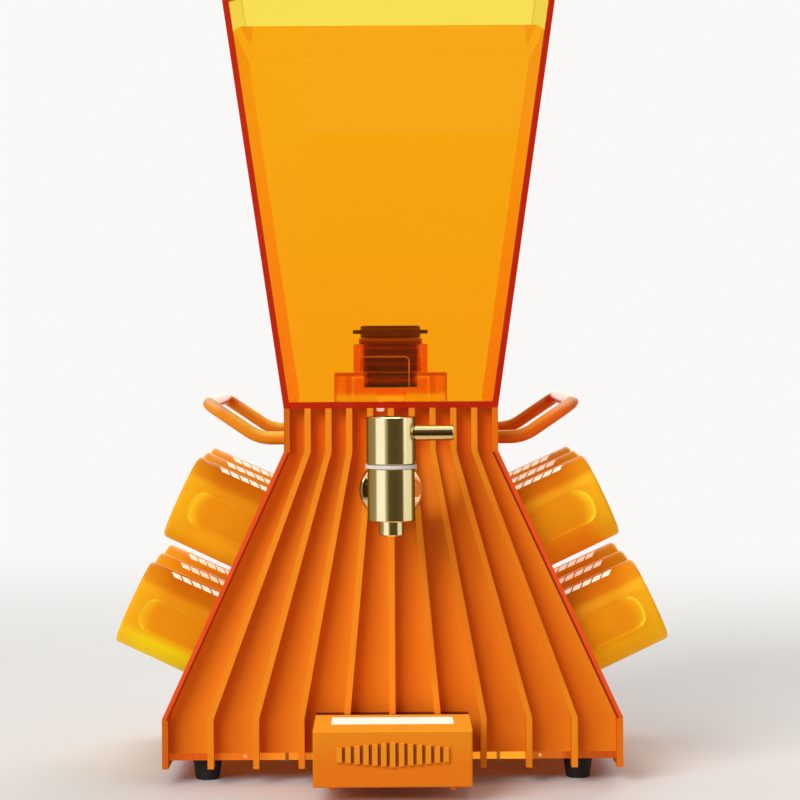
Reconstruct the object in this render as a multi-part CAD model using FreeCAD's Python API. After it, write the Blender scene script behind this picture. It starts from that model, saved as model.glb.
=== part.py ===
"""Party shot dispenser: an acrylic tank on a flared, ribbed base with a brass tap.

Twelve shot cups are stored mouth inwards in the two slanted side panels, and the
stand in front of the base carries the cup that is being filled.

Frame: millimetres, +Z up, +X to the right of a person who faces the tap, +Y from the
front to the back.  The origin is on the surface that the feet stand on, in the middle
of the object's length and breadth.
"""
import FreeCAD, Part
import math
import os

V = FreeCAD.Vector

# ---------------------------------------------------------------- driving dimensions
# Base: outline seen from the front, from the feet up
FOOT_HEIGHT = 11.3
PLATE_SHEET = 3.5           # bottom plate
SKIRT_HEIGHT = 18.1         # from the bottom plate to the lower bend
FLARE_HEIGHT = 131.7        # between the two bends
NECK_HEIGHT = 21.2          # from the upper bend to the tank
BASE_WIDTH = 227.3
NECK_WIDTH = 105.6
SIDE_SHEET = 3.0            # cheeks and slanted side panels
WALL_SHEET = 3.0            # front and back walls
DECK_SHEET = 3.0            # plate that closes the neck under the tank
FIN_SHEET = 3.0
FIN_DEPTH = 8.0             # how far the fins stand out of the walls
FIN_SPACES = 10             # bays across the front
FIN_OVERHANG = 3.0          # how far the fins reach below the bottom plate
RAIL_SIZE = 8.5             # square bars that join the walls to the bottom plate

# Feet
FOOT_TOP_RADIUS = 7.5
FOOT_BOTTOM_RADIUS = 5.9
FOOT_ROUND = 0.8
FOOT_INSET_X = 20.8         # from the cheek's outside to the foot's axis
FOOT_INSET_Y = 21.0         # from the fins' front plane to the foot's axis

# Cups and the holes that hold them
CUP_LENGTH = 60.0
CUP_MOUTH_RADIUS = 22.5
CUP_END_RADIUS = 21.9
CUP_WALL = 2.0
CUP_FLOOR = 3.0
CUP_EDGE_ROUND = 2.0
CUP_STANDOUT = 38.8         # length of a stored cup outside its panel
CUP_ROWS = 3                # from front to back
CUP_LEVELS = 2              # down the slope
LEVEL_FROM_BEND = 44.1      # from the upper bend to the first level, down the slope
LEVEL_PITCH = 58.3
HOLE_CLEARANCE = 0.3        # round the mouth of a cup
HOLE_WEB = 2.9              # panel left between two holes
WALL_CLEARANCE = 0.2        # from a hole's edge to the wall
REST_GAP = 0.2              # from a cup's rim to its backplate
BACKPLATE_SHEET = 3.0
BACKPLATE_MARGIN = 6.0      # past the outermost cups
PEG_HEIGHT = 3.0            # disc that centres a cup's mouth
PEG_CLEARANCE = 1.0
LABEL_FROM_END = 6.5        # plain recessed field on a cup
LABEL_LENGTH = 38.0
LABEL_WIDTH = 17.0
LABEL_CORNER = 6.0
LABEL_DEPTH = 0.9
LABEL_SIDE_FLARE = 3.0      # how far the field's long walls lean out for each mm of depth
LABEL_END_FLARE = 1.5       # and its end walls

# Tank and lid
TANK_HEIGHT = 234.0
TANK_TOP_WIDTH = 173.6
TANK_SHEET = 3.0
TANK_FLOOR_SHEET = 3.0
LID_SHEET = 3.0
LID_OVERHANG = 1.5
RIM_HEIGHT = 8.0
RIM_SHEET = 3.0
RIM_CLEARANCE = 1.0
KNOB_HEIGHT = 18.0
KNOB_RADIUS = 11.0
KNOB_WAIST_RADIUS = 6.5
KNOB_FOOT_RADIUS = 8.5

# Plug under the tank's front edge
PLUG_TOP_RADIUS = 2.2
PLUG_BOTTOM_RADIUS = 1.7
PLUG_DROP = 1.7
PLUG_INSET = 4.8            # from the tank's front to the plug's axis

# Outlet in the tank's floor
PLINTH_WIDTH = 58.0
PLINTH_HEIGHT = 13.8
PLINTH_CORNER = 5.0
COLLAR_RADIUS = 19.4
COLLAR_HEIGHT = 14.6
BLOCK_ROUND = 1.0            # upper edges of the plinth and the collar
OUTLET_RADIUS = 14.0
OUTLET_SHOULDER = 6.0       # from the tank's floor to the outlet's seal
OUTLET_SEAL_THICK = 1.5
OUTLET_STEM_RADIUS = 8.0
OUTLET_BORE_RADIUS = 9.0
OUTLET_FLANGE_RADIUS = 16.4
OUTLET_FLANGE_THICK = 3.0
OUTLET_NECK_RADIUS = 12.0
OUTLET_NECK_HEIGHT = 2.1
CAP_RADIUS = 15.6
CAP_HEIGHT = 6.4
CAP_TOP = 1.9
CAP_CHAMFER = 0.8
CAP_GAP = 0.1               # running clearance of the cap on its neck and flange
CAP_WINDOWS = 3             # in the half of the cap behind its wings
CAP_WINDOW_PITCH = 60.0     # degrees from one window to the next
CAP_WINDOW_WIDTH = 4.4
CAP_WINDOW_HEIGHT = 1.8
CAP_WINDOW_TURN = 30.0      # degrees from a wing to the first window
WING_REACH = 19.5           # from the outlet's axis to a wing's tip
WING_WIDTH = 6.0
WING_THICK = 2.0
WING_RISE = 2.2             # from the cap's bottom to the wings
OUTLET_NUT_WIDTH = 24.0     # across the flats
OUTLET_NUT_THICK = 6.0
OUTLET_THREAD_END = 1.0     # stem below its nut

# Hose from the outlet to the tap
HOSE_RADIUS = 3.75
HOSE_BORE_RADIUS = 2.5
BARB_LENGTH = 6.0
BARB_BORE_RADIUS = 1.7
CLIP_WIDTH = 4.0
CLIP_THICK = 0.8

# Tap
TAP_DROP = 40.2             # from the tank's underside to the shank's axis
TAP_REACH = 30.0            # from the fins' front plane to the tap's axis
TAP_RADIUS = 11.35
TAP_BELOW_AXIS = 12.9       # lower body below the shank's axis
TAP_ABOVE_AXIS = 12.4       # and above it
TAP_EDGE = 0.5
SLIP_RING_RADIUS = 12.4
SLIP_RING_THICK = 1.7
HEAD_RADIUS = 11.75
HEAD_HEIGHT = 22.8
HEAD_GAP = 0.1              # axial clearance under the turning head and its stem
STEM_RADIUS = 5.0
STEM_CLEARANCE = 0.05
STEM_BELOW_AXIS = 7.5
STEM_INTO_HEAD = 10.0
STEM_PORT_RADIUS = 2.5
STEM_SHOULDER_RADIUS = 7.0
STEM_SHOULDER_THICK = 2.0
STEM_SHOULDER_RISE = 5.5    # from the shank's axis to the shoulder
STEM_SHOULDER_CLEARANCE = 0.1
BONNET_RADIUS = 9.0
SEAL_SECTION_RADIUS = 0.75
SEAL_OFFSET = 4.6           # from the shank's axis to each stem seal
NOZZLE_RADIUS = 5.85
NOZZLE_LENGTH = 7.1
NOZZLE_BORE_RADIUS = 3.0
NOZZLE_SPIGOT_RADIUS = 4.5
NOZZLE_SPIGOT_LENGTH = 4.0
LEVER_RADIUS = 3.7
LEVER_REACH = 30.0          # from the tap's axis to the lever's end
LEVER_RISE = 15.0           # from the head's underside to the lever's axis
LEVER_SPIGOT_RADIUS = 2.5
LEVER_SPIGOT_INSET = 5.0
LEVER_CHAMFER = 0.5
SHANK_RADIUS = 6.0
SHANK_BORE_RADIUS = 3.0
SHANK_GAP = 0.5             # from the stem's shoulder to the shank's front end
SHANK_END = 2.0             # shank behind its nut
SHANK_BOSS_RADIUS = 9.5     # boss on the front wall round the shank
SHANK_NUT_WIDTH = 18.0
SHANK_NUT_THICK = 6.0
ROSETTE_RADIUS = 15.65
ROSETTE_THICK = 3.2
ROSETTE_ROUND = 1.6

# Handles
HANDLE_RADIUS = 3.3
HANDLE_DROP = 15.4          # from the tank's underside to the arms
HANDLE_INSET_Y = 22.0       # from the fins' front plane to an arm
HANDLE_BEND_OUT = 13.3      # from the cheek to the bend in an arm
HANDLE_GRIP_OUT = 38.7      # from the cheek to the grip
HANDLE_GRIP_RISE = 17.2     # from the arms to the grip
HANDLE_ARM_BEND = 21.0
HANDLE_GRIP_BEND = 8.0

# Cup stand
STAND_WIDTH = 75.4
STAND_REACH = 49.4          # from the fins' front plane
STAND_BOTTOM = 8.4          # above the floor
STAND_HEIGHT = 26.5
STAND_WALL = 2.5
STAND_ROUND = 0.8
STAND_BOSS_RADIUS = 5.0
WINDOW_WIDTH = 58.8
WINDOW_DEPTH = 20.4
WINDOW_FROM_BACK = 8.5
WINDOW_THICK = 3.0
LIGHT_HEIGHT = 12.0
LIGHT_MARGIN = 2.0          # the light module past the window, all round
TAB_RADIUS = 1.65
TAB_DROP = 1.9
TAB_SPREAD = 28.5           # from the middle to each tab
TAB_INSET = 5.0             # from the stand's front and back to the tabs
RELIEF_BARS = 13
RELIEF_PITCH = 4.2
RELIEF_BAR_WIDTH = 2.6
RELIEF_MIDDLE_HEIGHT = 11.5
RELIEF_RISE = 2.4           # of the bars' middles above the middle of the stand's front
RELIEF_STEP = 0.8           # how much shorter each bar is than the one inside it
RELIEF_PROUD = 1.6

# Pan head screws, all of one size
SCREW_RADIUS = 1.5
SCREW_LENGTH = 11.0
SCREW_HEAD_RADIUS = 2.6
SCREW_HEAD_HEIGHT = 1.8
SCREW_HEAD_GAP = 2.0        # from the rails to the heads of the stand's screws
RAIL_SCREW_X = 52.7

# ---------------------------------------------------------------- derived places
HOLE_RADIUS = CUP_MOUTH_RADIUS + HOLE_CLEARANCE
ROW_PITCH = 2 * HOLE_RADIUS + HOLE_WEB
INNER_DEPTH = (CUP_ROWS - 1) * ROW_PITCH + 2 * (HOLE_RADIUS + WALL_CLEARANCE)
DEPTH = INNER_DEPTH + 2 * (WALL_SHEET + FIN_DEPTH)

FRONT_Y = (STAND_REACH + RELIEF_PROUD - DEPTH - LID_OVERHANG) / 2     # the front fins' edges
BACK_Y = FRONT_Y + DEPTH
MID_Y = (FRONT_Y + BACK_Y) / 2
WALL_FRONT_Y = FRONT_Y + FIN_DEPTH
INSIDE_FRONT_Y = WALL_FRONT_Y + WALL_SHEET
INSIDE_BACK_Y = INSIDE_FRONT_Y + INNER_DEPTH

PLATE_TOP_Z = FOOT_HEIGHT + PLATE_SHEET
LOW_BEND_Z = PLATE_TOP_Z + SKIRT_HEIGHT
HIGH_BEND_Z = LOW_BEND_Z + FLARE_HEIGHT
TANK_Z = HIGH_BEND_Z + NECK_HEIGHT
FIN_BOTTOM_Z = FOOT_HEIGHT - FIN_OVERHANG
FLOOR_TOP_Z = TANK_Z + TANK_FLOOR_SHEET
TANK_TOP_Z = TANK_Z + TANK_HEIGHT
TAP_Z = TANK_Z - TAP_DROP
TAP_Y = FRONT_Y - TAP_REACH
STAND_TOP_Z = STAND_BOTTOM + STAND_HEIGHT

SLOPE = math.atan2((BASE_WIDTH - NECK_WIDTH) / 2, FLARE_HEIGHT)    # from the vertical
CUP_SLOTS = [(level, row) for level in range(CUP_LEVELS) for row in range(CUP_ROWS)]


# ---------------------------------------------------------------- shape helpers
def box(x0, x1, y0, y1, z0, z1):
    return Part.makeBox(x1 - x0, y1 - y0, z1 - z0, V(x0, y0, z0))


def cylinder(radius, start, end):
    return Part.makeCylinder(radius, (end - start).Length, start, end - start)


def cone(start_radius, end_radius, start, end):
    return Part.makeCone(start_radius, end_radius, (end - start).Length, start, end - start)


def tube(radius, bore, start, end):
    return cylinder(radius, start, end).cut(cylinder(bore, start, end))


def upright(radius, x, y, z0, z1):
    """A cylinder that stands on z0."""
    return cylinder(radius, V(x, y, z0), V(x, y, z1))


def fuse(shapes):
    whole = shapes[0].multiFuse(shapes[1:]) if len(shapes) > 1 else shapes[0]
    return whole.removeSplitter()


def cut_all(shape, tools):
    return shape.cut(Part.makeCompound(tools))


def prism_xz(points, y0, y1):
    """The polygon of (x, z) points, from y0 to y1."""
    corners = [V(x, y0, z) for x, z in points]
    face = Part.Face(Part.makePolygon(corners + corners[:1]))
    return face.extrude(V(0, y1 - y0, 0))


def hexagon(width, x, y, z0, z1):
    """An upright hexagonal bar, width across its flats."""
    corner = width / 2 / math.cos(math.pi / 6)
    points = [V(x + corner * math.cos(k * math.pi / 3), y + corner * math.sin(k * math.pi / 3), z0)
              for k in range(7)]
    return Part.Face(Part.makePolygon(points)).extrude(V(0, 0, z1 - z0))


def mirror_x(shape):
    return shape.mirror(V(0, 0, 0), V(1, 0, 0))


def mirror_depth(shape):
    """The same piece on the other side of the middle of the base."""
    return shape.mirror(V(0, MID_Y, 0), V(0, 1, 0))


def edges_along(shape, direction):
    """The straight edges that run along a direction."""
    straight = [edge for edge in shape.Edges if isinstance(edge.Curve, Part.Line)]
    return [edge for edge in straight
            if abs(edge.tangentAt(edge.FirstParameter).dot(direction)) > 0.999]


def edges_at_height(shape, z):
    """The edges that lie flat at a height."""
    return [edge for edge in shape.Edges
            if max(abs(edge.BoundBox.ZMin - z), abs(edge.BoundBox.ZMax - z)) < 0.01]


def round_edge(shape, radius, centre):
    """Rounds the circular edges whose centre is at a point."""
    edges = [edge for edge in shape.Edges if isinstance(edge.Curve, Part.Circle)
             and (edge.Curve.Center - centre).Length < 0.01]
    return shape.makeFillet(radius, edges)


def offset_line(points, distance):
    """An open run of (x, z) points moved sideways, with mitred corners.

    On the right-hand side, listed from the top down, a positive distance is inwards.
    """
    normals = []
    for (x0, z0), (x1, z1) in zip(points, points[1:]):
        length = math.hypot(x1 - x0, z1 - z0)
        normals.append(((z1 - z0) / length, (x0 - x1) / length))
    moved = []
    for i, (x, z) in enumerate(points):
        a = normals[max(i - 1, 0)]
        b = normals[min(i, len(normals) - 1)]
        share = distance / (1 + a[0] * b[0] + a[1] * b[1])
        moved.append((x + (a[0] + b[0]) * share, z + (a[1] + b[1]) * share))
    return moved


def x_on_line(a, b, z):
    """The x of the line through two (x, z) points, at a height."""
    return a[0] + (b[0] - a[0]) * (z - a[1]) / (b[1] - a[1])


def bent_rod(points, bends, radius):
    """A round rod through the points, bent to a tangent arc at each inner one."""
    pieces = []
    start = points[0]
    for i, bend in enumerate(bends, start=1):
        u = (points[i] - points[i - 1]).normalize()
        v = (points[i + 1] - points[i]).normalize()
        turn = u.getAngle(v)
        tangent = bend * math.tan(turn / 2)
        arc_start = points[i] - u * tangent
        centre = arc_start + (v - u * u.dot(v)).normalize() * bend
        section = Part.Face(Part.Wire(Part.makeCircle(radius, arc_start, u)))
        pieces.append(cylinder(radius, start, arc_start))
        pieces.append(section.revolve(centre, u.cross(v), math.degrees(turn)))
        start = points[i] + v * tangent
    pieces.append(cylinder(radius, start, points[-1]))
    return fuse(pieces)


def screw(head_seat, direction):
    """A pan head screw whose head sits at a point and whose shank runs along direction."""
    head = cylinder(SCREW_HEAD_RADIUS, head_seat - direction * SCREW_HEAD_HEIGHT, head_seat)
    shank = cylinder(SCREW_RADIUS, head_seat, head_seat + direction * SCREW_LENGTH)
    return fuse([head, shank])


# ---------------------------------------------------------------- base
def base_outline():
    """The right-hand outside of the base, from the tank down, and its inside."""
    outside = [(NECK_WIDTH / 2, TANK_Z), (NECK_WIDTH / 2, HIGH_BEND_Z),
               (BASE_WIDTH / 2, LOW_BEND_Z), (BASE_WIDTH / 2, FIN_BOTTOM_Z)]
    return outside, offset_line(outside, SIDE_SHEET)


def side_band(first, last):
    """The stretch of the base's side sheet between two of its corners."""
    outside, inside = base_outline()
    return prism_xz(outside[first:last + 1] + inside[first:last + 1][::-1], FRONT_Y, BACK_Y)


def base_cheeks():
    cheeks = [side_band(0, 1), side_band(2, 3)]
    arm_holes = [cylinder(SCREW_RADIUS, V(0, y, handle_z()), V(BASE_WIDTH, y, handle_z()))
                 for y in handle_rows()]
    cheeks[0] = cut_all(cheeks[0], arm_holes)
    return cheeks + [mirror_x(cheek) for cheek in cheeks]


def cup_direction():
    """The way out of the right-hand panel, along a stored cup's axis."""
    return V(math.cos(SLOPE), 0, math.sin(SLOPE))


def cup_place(level, row):
    """Where a cup's axis crosses the outside of the right-hand panel."""
    down = V(math.sin(SLOPE), 0, -math.cos(SLOPE))
    bend = V(NECK_WIDTH / 2, MID_Y, HIGH_BEND_Z)
    across = V(0, (row - (CUP_ROWS - 1) / 2) * ROW_PITCH, 0)
    return bend + down * (LEVEL_FROM_BEND + level * LEVEL_PITCH) + across


def side_panel():
    out = cup_direction()
    places = [cup_place(*slot) for slot in CUP_SLOTS]
    holes = [cylinder(HOLE_RADIUS, place - out * 2 * SIDE_SHEET, place + out * SIDE_SHEET)
             for place in places]
    return cut_all(side_band(1, 2), holes)


def backplate():
    """Plate parallel to the side panel that the cups' rims rest on, with centring pegs."""
    out = cup_direction()
    down = V(math.sin(SLOPE), 0, -math.cos(SLOPE))
    face_depth = CUP_LENGTH - CUP_STANDOUT + REST_GAP
    top = cup_place(0, 0) - down * (HOLE_RADIUS + BACKPLATE_MARGIN)
    bottom = cup_place(CUP_LEVELS - 1, 0) + down * (HOLE_RADIUS + BACKPLATE_MARGIN)
    corners = [top - out * face_depth, bottom - out * face_depth,
               bottom - out * (face_depth + BACKPLATE_SHEET), top - out * (face_depth + BACKPLATE_SHEET)]
    plate = prism_xz([(corner.x, corner.z) for corner in corners], INSIDE_FRONT_Y, INSIDE_BACK_Y)
    pegs = []
    for slot in CUP_SLOTS:
        seat = cup_place(*slot) - out * face_depth
        pegs.append(cylinder(CUP_MOUTH_RADIUS - CUP_WALL - PEG_CLEARANCE, seat, seat + out * PEG_HEIGHT))
    return [plate] + pegs


def wall_points():
    inside = base_outline()[1][:3] + [(BASE_WIDTH / 2 - SIDE_SHEET, PLATE_TOP_Z)]
    return inside + [(-x, z) for x, z in reversed(inside)]


def shank_end(y):
    return V(0, y, TAP_Z)


def shank_front_y():
    return TAP_Y + STEM_SHOULDER_RADIUS + STEM_SHOULDER_CLEARANCE + SHANK_GAP


def front_wall():
    wall = prism_xz(wall_points(), WALL_FRONT_Y, INSIDE_FRONT_Y)
    boss = cylinder(SHANK_BOSS_RADIUS, shank_end(FRONT_Y), shank_end(INSIDE_FRONT_Y))
    holes = [cylinder(SHANK_RADIUS, shank_end(FRONT_Y), shank_end(INSIDE_FRONT_Y))]
    holes += [cylinder(SCREW_RADIUS, V(x, FRONT_Y, stand_boss_z()), V(x, INSIDE_FRONT_Y, stand_boss_z()))
              for x in stand_boss_xs()]
    return cut_all(fuse([wall, boss]), holes)


def back_wall():
    return prism_xz(wall_points(), INSIDE_BACK_Y, INSIDE_BACK_Y + WALL_SHEET)


def fins():
    """The fins between the cheeks; each is a sheet bent where the base's outline bends."""
    neck_pitch = (NECK_WIDTH - SIDE_SHEET) / FIN_SPACES
    base_pitch = (BASE_WIDTH - SIDE_SHEET) / FIN_SPACES
    boss = cylinder(SHANK_BOSS_RADIUS, shank_end(FRONT_Y), shank_end(WALL_FRONT_Y))
    made = []
    for i in range(1, FIN_SPACES):
        place = i - FIN_SPACES / 2
        middle = [(neck_pitch * place, TANK_Z), (neck_pitch * place, HIGH_BEND_Z),
                  (base_pitch * place, LOW_BEND_Z), (base_pitch * place, FIN_BOTTOM_Z)]
        outline = offset_line(middle, FIN_SHEET / 2) + offset_line(middle, -FIN_SHEET / 2)[::-1]
        made.append(prism_xz(outline, FRONT_Y, WALL_FRONT_Y))
    front = [solid for fin in made for solid in fin.cut(boss).Solids]
    back = [mirror_depth(fin) for fin in made]
    return front, back


def neck_deck():
    reach = NECK_WIDTH / 2 - SIDE_SHEET
    deck = box(-reach, reach, INSIDE_FRONT_Y, INSIDE_BACK_Y, TANK_Z - DECK_SHEET, TANK_Z)
    return deck.cut(upright(OUTLET_STEM_RADIUS, 0, MID_Y, TANK_Z - DECK_SHEET, TANK_Z))


def rail_rows():
    """The y of the two rails' middles."""
    return [INSIDE_FRONT_Y + RAIL_SIZE / 2, INSIDE_BACK_Y - RAIL_SIZE / 2]


def rail_screw_places():
    return [(x, y) for x in (-RAIL_SCREW_X, RAIL_SCREW_X) for y in rail_rows()]


def base_rails():
    """They end short of the feet, whose screws stand beside them."""
    reach = BASE_WIDTH / 2 - FOOT_INSET_X - FOOT_TOP_RADIUS
    rails = []
    for y in rail_rows():
        rail = box(-reach, reach, y - RAIL_SIZE / 2, y + RAIL_SIZE / 2, PLATE_TOP_Z, PLATE_TOP_Z + RAIL_SIZE)
        screw_holes = [upright(SCREW_RADIUS, x, row, FOOT_HEIGHT, FOOT_HEIGHT + SCREW_LENGTH)
                       for x, row in rail_screw_places()]
        rails.append(cut_all(rail, screw_holes))
    return rails


def foot_places():
    reach = BASE_WIDTH / 2 - FOOT_INSET_X
    return [(x, y) for x in (-reach, reach) for y in (FRONT_Y + FOOT_INSET_Y, BACK_Y - FOOT_INSET_Y)]


def bottom_plate():
    reach = BASE_WIDTH / 2 - SIDE_SHEET
    plate = box(-reach, reach, WALL_FRONT_Y, BACK_Y - FIN_DEPTH, FOOT_HEIGHT, PLATE_TOP_Z)
    return cut_all(plate, [upright(SCREW_RADIUS, x, y, FOOT_HEIGHT, PLATE_TOP_Z)
                           for x, y in foot_places() + rail_screw_places()])


def feet():
    made = []
    for x, y in foot_places():
        foot = cone(FOOT_BOTTOM_RADIUS, FOOT_TOP_RADIUS, V(x, y, 0), V(x, y, FOOT_HEIGHT))
        foot = round_edge(foot, FOOT_ROUND, V(x, y, 0))
        made.append(foot.cut(upright(SCREW_RADIUS, x, y, PLATE_TOP_Z - SCREW_LENGTH, FOOT_HEIGHT)))
    return made


def base_screws():
    """All the pan head screws of the base: feet, rails, handles and stand."""
    screws = [screw(V(x, y, PLATE_TOP_Z), V(0, 0, -1)) for x, y in foot_places()]
    screws += [screw(V(x, y, FOOT_HEIGHT), V(0, 0, 1)) for x, y in rail_screw_places()]
    cheek_inside = NECK_WIDTH / 2 - SIDE_SHEET
    screws += [screw(V(side * cheek_inside, y, handle_z()), V(side, 0, 0))
               for side in (-1, 1) for y in handle_rows()]
    screws += [screw(V(x, INSIDE_FRONT_Y, stand_boss_z()), V(0, -1, 0)) for x in stand_boss_xs()]
    return screws


# ---------------------------------------------------------------- cups
def cup():
    """A cup on its own, mouth at the origin and closed end along +X."""
    end = V(CUP_LENGTH, 0, 0)
    outside = round_edge(cone(CUP_MOUTH_RADIUS, CUP_END_RADIUS, V(0, 0, 0), end), CUP_EDGE_ROUND, end)
    floor = V(CUP_LENGTH - CUP_FLOOR, 0, 0)
    hollow = cone(CUP_MOUTH_RADIUS - CUP_WALL, CUP_END_RADIUS - CUP_WALL, V(0, 0, 0), floor)
    return outside.cut(round_edge(hollow, CUP_EDGE_ROUND, floor)).cut(label_field())


def label_outline(depth):
    """The field's rounded outline on a plane at a depth in front of the cup's axis."""
    side = LABEL_SIDE_FLARE * (depth - math.sqrt(CUP_END_RADIUS ** 2 - (LABEL_WIDTH / 2) ** 2))
    end = LABEL_END_FLARE * (depth - CUP_END_RADIUS)
    x1 = CUP_LENGTH - LABEL_FROM_END
    x0 = x1 - LABEL_LENGTH
    half = LABEL_WIDTH / 2 + side
    slab = box(x0 - end, x1 + end, -depth, 0, -half, half)
    slab = slab.makeFillet(LABEL_CORNER + (side + end) / 2, edges_along(slab, V(0, 1, 0)))
    return min(slab.Faces, key=lambda face: face.CenterOfMass.y).OuterWire


def label_field():
    """The shallow rounded field on the cup's front, with leaning walls and a round floor."""
    deep = CUP_MOUTH_RADIUS - 4 * LABEL_DEPTH
    block = Part.makeLoft([label_outline(deep), label_outline(CUP_MOUTH_RADIUS + LABEL_DEPTH)], True, True)
    core = cone(CUP_MOUTH_RADIUS - LABEL_DEPTH, CUP_END_RADIUS - LABEL_DEPTH, V(0, 0, 0), V(CUP_LENGTH, 0, 0))
    return block.cut(core)


def stored_cups():
    nodes = {}
    shape = cup()
    for level, row in CUP_SLOTS:
        stored = shape.copy()
        stored.rotate(V(0, 0, 0), V(0, 1, 0), -math.degrees(SLOPE))
        stored.translate(cup_place(level, row) - cup_direction() * (CUP_LENGTH - CUP_STANDOUT))
        nodes["cup_right_%d_%d" % (level + 1, row + 1)] = [stored]
        nodes["cup_left_%d_%d" % (level + 1, row + 1)] = [mirror_x(stored)]
    return nodes


# ---------------------------------------------------------------- tank and lid
def tank_side():
    """The right-hand outside of the tank, from the top down, and its inside."""
    outside = [(TANK_TOP_WIDTH / 2, TANK_TOP_Z), (NECK_WIDTH / 2, TANK_Z)]
    return outside, offset_line(outside, TANK_SHEET)


def tank_inside(z):
    """Half the tank's inner width at a height."""
    return x_on_line(*tank_side()[1], z)


def tank_trapezium(z0, z1, y0, y1):
    """A piece of the full inner width of the tank between two heights."""
    low, high = tank_inside(z0), tank_inside(z1)
    return prism_xz([(-low, z0), (low, z0), (high, z1), (-high, z1)], y0, y1)


def tank():
    outside = tank_side()[0]
    side = prism_xz(outside + [(tank_inside(TANK_Z), TANK_Z), (tank_inside(TANK_TOP_Z), TANK_TOP_Z)],
                    FRONT_Y, BACK_Y)
    floor = tank_trapezium(TANK_Z, FLOOR_TOP_Z, FRONT_Y, BACK_Y)
    plug_x, plug_y = plug_place()
    floor = cut_all(floor, [upright(OUTLET_STEM_RADIUS, 0, MID_Y, TANK_Z, FLOOR_TOP_Z),
                            upright(PLUG_BOTTOM_RADIUS, plug_x, plug_y, TANK_Z, FLOOR_TOP_Z)])
    front = tank_trapezium(FLOOR_TOP_Z, TANK_TOP_Z, FRONT_Y, FRONT_Y + TANK_SHEET)
    return {"tank_right_panel": [side], "tank_left_panel": [mirror_x(side)], "tank_floor": [floor],
            "tank_front_panel": [front], "tank_back_panel": [mirror_depth(front)],
            "floor_plug": [floor_plug()]}


def plug_place():
    """The plug hangs in the bay to the left of the middle fin."""
    return -(NECK_WIDTH - SIDE_SHEET) / FIN_SPACES / 2, FRONT_Y + PLUG_INSET


def floor_plug():
    x, y = plug_place()
    head = cone(PLUG_BOTTOM_RADIUS, PLUG_TOP_RADIUS, V(x, y, TANK_Z - PLUG_DROP), V(x, y, TANK_Z))
    return fuse([head, upright(PLUG_BOTTOM_RADIUS, x, y, TANK_Z, FLOOR_TOP_Z)])


def lid():
    reach = TANK_TOP_WIDTH / 2 + LID_OVERHANG
    top = TANK_TOP_Z + LID_SHEET
    plate = box(-reach, reach, FRONT_Y - LID_OVERHANG, BACK_Y + LID_OVERHANG, TANK_TOP_Z, top)
    x = tank_inside(TANK_TOP_Z - RIM_HEIGHT) - RIM_CLEARANCE
    y = DEPTH / 2 - TANK_SHEET - RIM_CLEARANCE
    outer = box(-x, x, MID_Y - y, MID_Y + y, TANK_TOP_Z - RIM_HEIGHT, TANK_TOP_Z)
    x, y = x - RIM_SHEET, y - RIM_SHEET
    rim = outer.cut(box(-x, x, MID_Y - y, MID_Y + y, TANK_TOP_Z - RIM_HEIGHT, TANK_TOP_Z))
    return {"lid_plate": [plate], "lid_rim": [rim], "lid_knob": [knob(top)]}


def knob(z):
    """A turned knob: a low foot, a waist and a rounded head."""
    foot_top = z + KNOB_HEIGHT / 6
    head_bottom = z + KNOB_HEIGHT / 2
    head_z = z + KNOB_HEIGHT
    foot = upright(KNOB_FOOT_RADIUS, 0, MID_Y, z, foot_top)
    waist = upright(KNOB_WAIST_RADIUS, 0, MID_Y, foot_top, head_bottom)
    head = upright(KNOB_RADIUS, 0, MID_Y, head_bottom, head_z)
    head = round_edge(head, KNOB_HEIGHT / 8, V(0, MID_Y, head_z))
    head = round_edge(head, KNOB_HEIGHT / 8, V(0, MID_Y, head_bottom))
    return fuse([foot, waist, head])


# ---------------------------------------------------------------- outlet and hose
def outlet_levels():
    """Heights in the outlet: seal, body, collar's seat, flange, neck and the neck's top."""
    seal = FLOOR_TOP_Z + OUTLET_SHOULDER
    body = seal + OUTLET_SEAL_THICK
    collar = FLOOR_TOP_Z + PLINTH_HEIGHT
    flange = collar + COLLAR_HEIGHT
    neck = flange + OUTLET_FLANGE_THICK
    return seal, body, collar, flange, neck, neck + OUTLET_NECK_HEIGHT


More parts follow.
